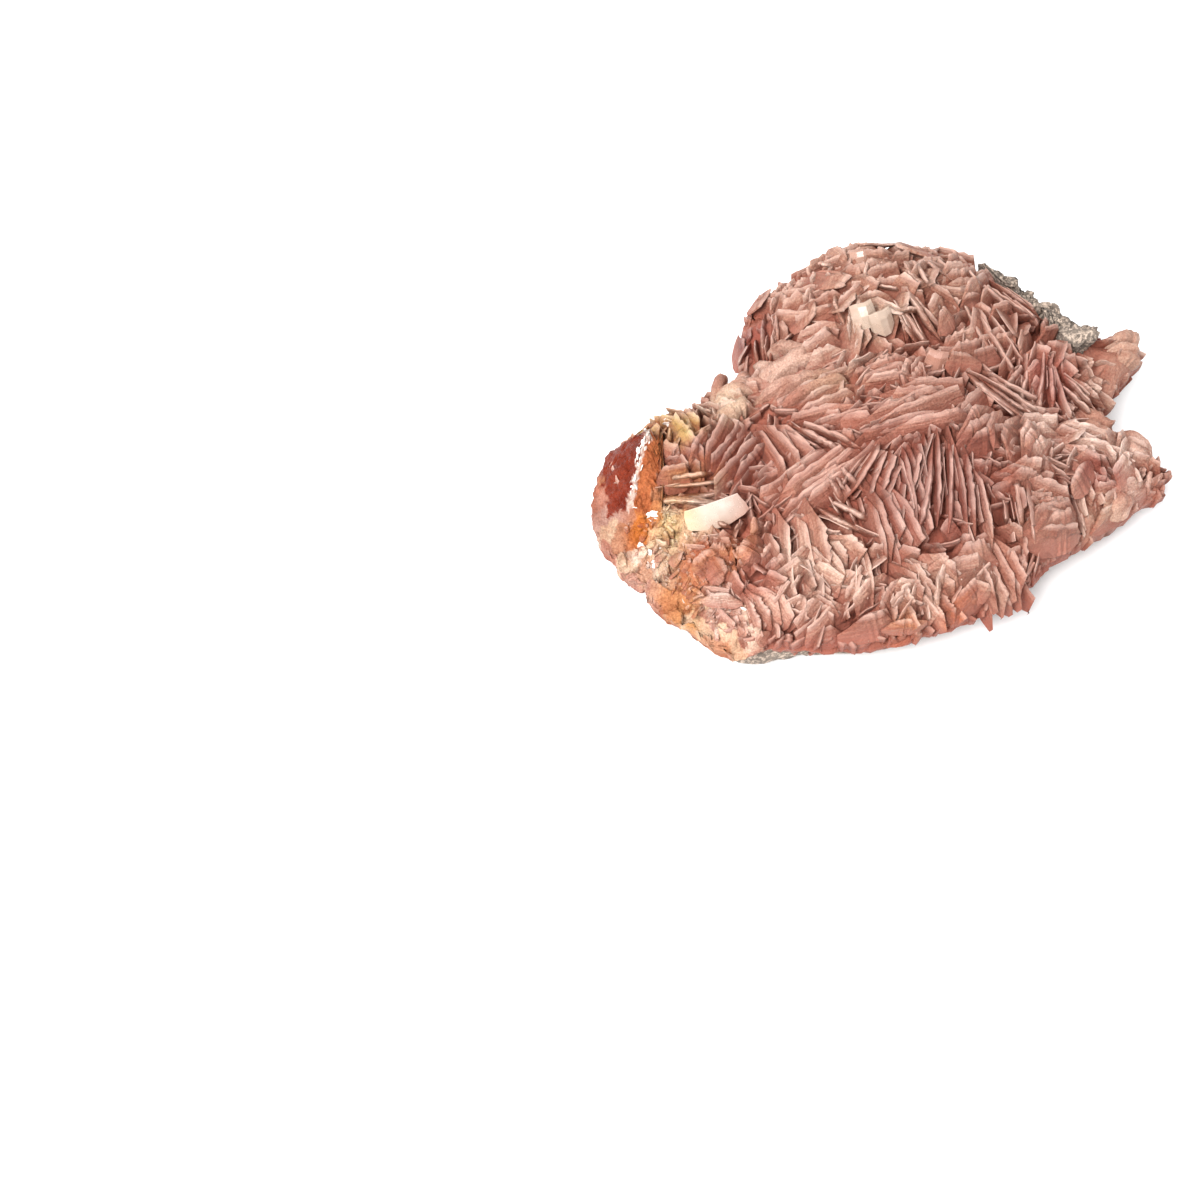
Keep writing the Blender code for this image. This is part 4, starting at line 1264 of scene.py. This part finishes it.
class BARITE_OT_broken(bpy.types.Operator):
    """Shape the broken ground at the left end, with its dark face, its orange band and the pale rim"""
    bl_idname = "barite.broken"
    bl_label = "Shape broken ground"

    def execute(self, context):
        settings = context.scene.barite_blades
        source = random.Random(settings.seed)
        facets = Facets(random.Random(settings.seed), *BROKEN_FACETS)
        data = mound_mesh("broken_ground", BROKEN_OUTLINE, BROKEN_MIDDLE,
                          lambda x, y: broken_top(x, y, facets), over(layer_bottom, 0.6))
        roughen(data, ((2.6, 0.6), (1.0, 0.45), (0.5, 0.22)), over(layer_bottom, 0.9))
        places = points_of(data)
        number = facets.nearest(places[:, 0], places[:, 1])
        chunks = zone_colours(facets.middles)
        for own in range(len(chunks)):
            if source.random() < CHUNK_SHARE:
                chunks[own, :3] = srgb(source.choice(CHUNK_TONES))
        colours = zone_colours(places) * 0.45 + chunks[number] * 0.55
        away, part = ridge_distance(places[:, 0], places[:, 1])
        blotch = np.array([noise.noise(Vector(place) / 1.4) for place in places])
        away, part = away + blotch * 0.9, part + blotch * 0.07
        for tone, gloss, low, high in (
                (GROUND_TONE, 0.5, 0.5, 9.5 - 6.0 * part), (BAND_TONE, 0.4, -3.6, -0.5),
                (RIDGE_TONE, 0.3, -0.5, 0.5)):
            inside = (part > -0.05) & (part < 1.0) & (away > low) & (away < high)
            colours[inside] = [*srgb(tone), gloss]
        # The depth under the broken ground's top sets the shade painted into its hollows
        paint(data, colours, broken_top(places[:, 0], places[:, 1], facets) - 1.0 - places[:, 2])
        data.materials.append(barite_finish("broken barite", settings, False, 1.0, 0.12))
        finished_piece(new_object("broken_ground", data))
        chips = strewn_seats(source, facets, *CHIPS)
        glints = strewn_seats(source, facets, *GLINTS)
        finish = barite_finish("barite chips", settings, True, 1.1, 0.2)
        finished_piece(grow("chips", chips, settings, finish, even=0.15))
        finished_piece(grow("glints", glints, settings, glint_finish()))
        return {"FINISHED"}


class BARITE_OT_rock(bpy.types.Operator):
    """Shape the host rock with its flat cut"""
    bl_idname = "barite.rock"
    bl_label = "Shape host rock"

    def execute(self, context):
        settings, count = context.scene.barite_rock, context.scene.barite_massive.sectors
        rings = [ring_at(ROCK_TABLE, part, flat(0.0), count)
                 for part in np.linspace(0.1, BASE_SHRINK, 10)]
        rings += [ring_at(ROCK_TABLE, part, flat(height), count) for part, height in ROCK_FOOT]
        rings.append(ring_at(ROCK_TABLE, 0.92, rock_lip, count))
        rings += [ring_at(BARITE_TABLE, part, over(layer_bottom, -GAP), count)
                  for part in np.linspace(0.86, 0.05, 30)]
        data = polar_mesh("rock", rings)
        places = points_of(data)
        for here, place in enumerate(places):
            if place[2] > ABOVE_CUT:
                out = Vector((place[0], place[1], 0)).normalized()
                lump = noise.fractal(Vector(place) / ROCK_LUMP, 1.0, 2.0, 5) * settings.lumps / MM
                places[here] += np.array(out) * min(lump, GAP)
        place_points(data, places)
        finish = rock_finish(settings)
        data.materials.append(finish)
        finished_piece(new_object("rock", data), "host_rock")
        facets = Facets(random.Random(ROCK_FACET_SEED), *ROCK_FACETS)
        data = mound_mesh("rock_patch", ROCK_PATCH_OUTLINE, ROCK_PATCH_MIDDLE,
                          lambda x, y: crest_height(x, y) - 1.0 + facets.height(x, y),
                          over(layer_bottom, 1.0))
        roughen(data, ((2.4, 0.9), (0.9, 0.5), (0.45, 0.25)), over(layer_bottom, 1.5))
        data.materials.append(finish)
        finished_piece(new_object("rock_patch", data), "host_rock")
        return {"FINISHED"}


class BARITE_OT_stage(bpy.types.Operator):
    """Set up the pale floor, the soft light and the camera"""
    bl_idname = "barite.stage"
    bl_label = "Set stage"

    def execute(self, context):
        settings = context.scene.barite_stage
        half = settings.floor_size / 2
        data = bpy.data.meshes.new("floor")
        data.from_pydata([(-half, -half, 0), (half, -half, 0), (half, half, 0), (-half, half, 0)],
                         [], [(0, 1, 2, 3)])
        data.materials.append(floor_finish())
        new_object("floor", data)
        world = bpy.data.worlds.new("soft sky")
        world.use_nodes = True
        sky = world.node_tree.nodes["Background"]
        sky.inputs["Color"].default_value = (1.0, 1.0, 1.0, 1.0)
        sky.inputs["Strength"].default_value = settings.sky
        context.scene.world = world
        context.scene.view_settings.view_transform = "Standard"
        light = bpy.data.lights.new("key", "AREA")
        light.energy = settings.key_power
        light.size = 0.35
        key = bpy.data.objects.new("key", light)
        key.location = (-0.28, -0.26, 0.5)
        key.rotation_euler = Vector(key.location).to_track_quat("Z", "Y").to_euler()
        context.scene.collection.objects.link(key)
        lens = bpy.data.cameras.new("camera")
        lens.lens = LENS
        lens.sensor_width = SENSOR
        lens.clip_start = 0.01
        camera = bpy.data.objects.new("camera", lens)
        camera.location = CAMERA_PLACE
        camera.rotation_euler = CAMERA_TURN
        context.scene.collection.objects.link(camera)
        context.scene.camera = camera
        return {"FINISHED"}


class BARITE_PT_panel(bpy.types.Panel):
    """The specimen's sizes and steps in the sidebar"""
    bl_label = "Barite specimen"
    bl_idname = "BARITE_PT_panel"
    bl_space_type = "VIEW_3D"
    bl_region_type = "UI"
    bl_category = "Barite"

    def draw(self, context):
        for group, operators in STEPS:
            box = self.layout.box()
            settings = getattr(context.scene, group)
            for name in settings.__annotations__:
                box.prop(settings, name)
            for operator in operators:
                box.operator(operator)


STEPS = [("barite_rock", ["barite.rock"]), ("barite_massive", ["barite.massive", "barite.broken"]),
         ("barite_blades", ["barite.blades", "barite.pale"]), ("barite_stage", ["barite.stage"])]
GROUPS = {"barite_blades": BladeSettings, "barite_massive": MassiveSettings,
          "barite_rock": RockSettings, "barite_stage": StageSettings}
CLASSES = [*GROUPS.values(), BARITE_OT_blades, BARITE_OT_pale, BARITE_OT_massive, BARITE_OT_broken,
           BARITE_OT_rock, BARITE_OT_stage, BARITE_PT_panel]


def register():
    """Register the classes and hang the settings on the scene."""
    for kind in CLASSES:
        bpy.utils.register_class(kind)
    for name, group in GROUPS.items():
        setattr(bpy.types.Scene, name, PointerProperty(type=group))


def unregister():
    """Take the settings and the classes away again."""
    for name in GROUPS:
        delattr(bpy.types.Scene, name)
    for kind in reversed(CLASSES):
        bpy.utils.unregister_class(kind)


def main():
    """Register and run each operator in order."""
    register()
    bpy.ops.barite.rock()
    bpy.ops.barite.massive()
    bpy.ops.barite.broken()
    bpy.ops.barite.blades()
    bpy.ops.barite.pale()
    bpy.ops.barite.stage()


if __name__ == "__main__":
    main()
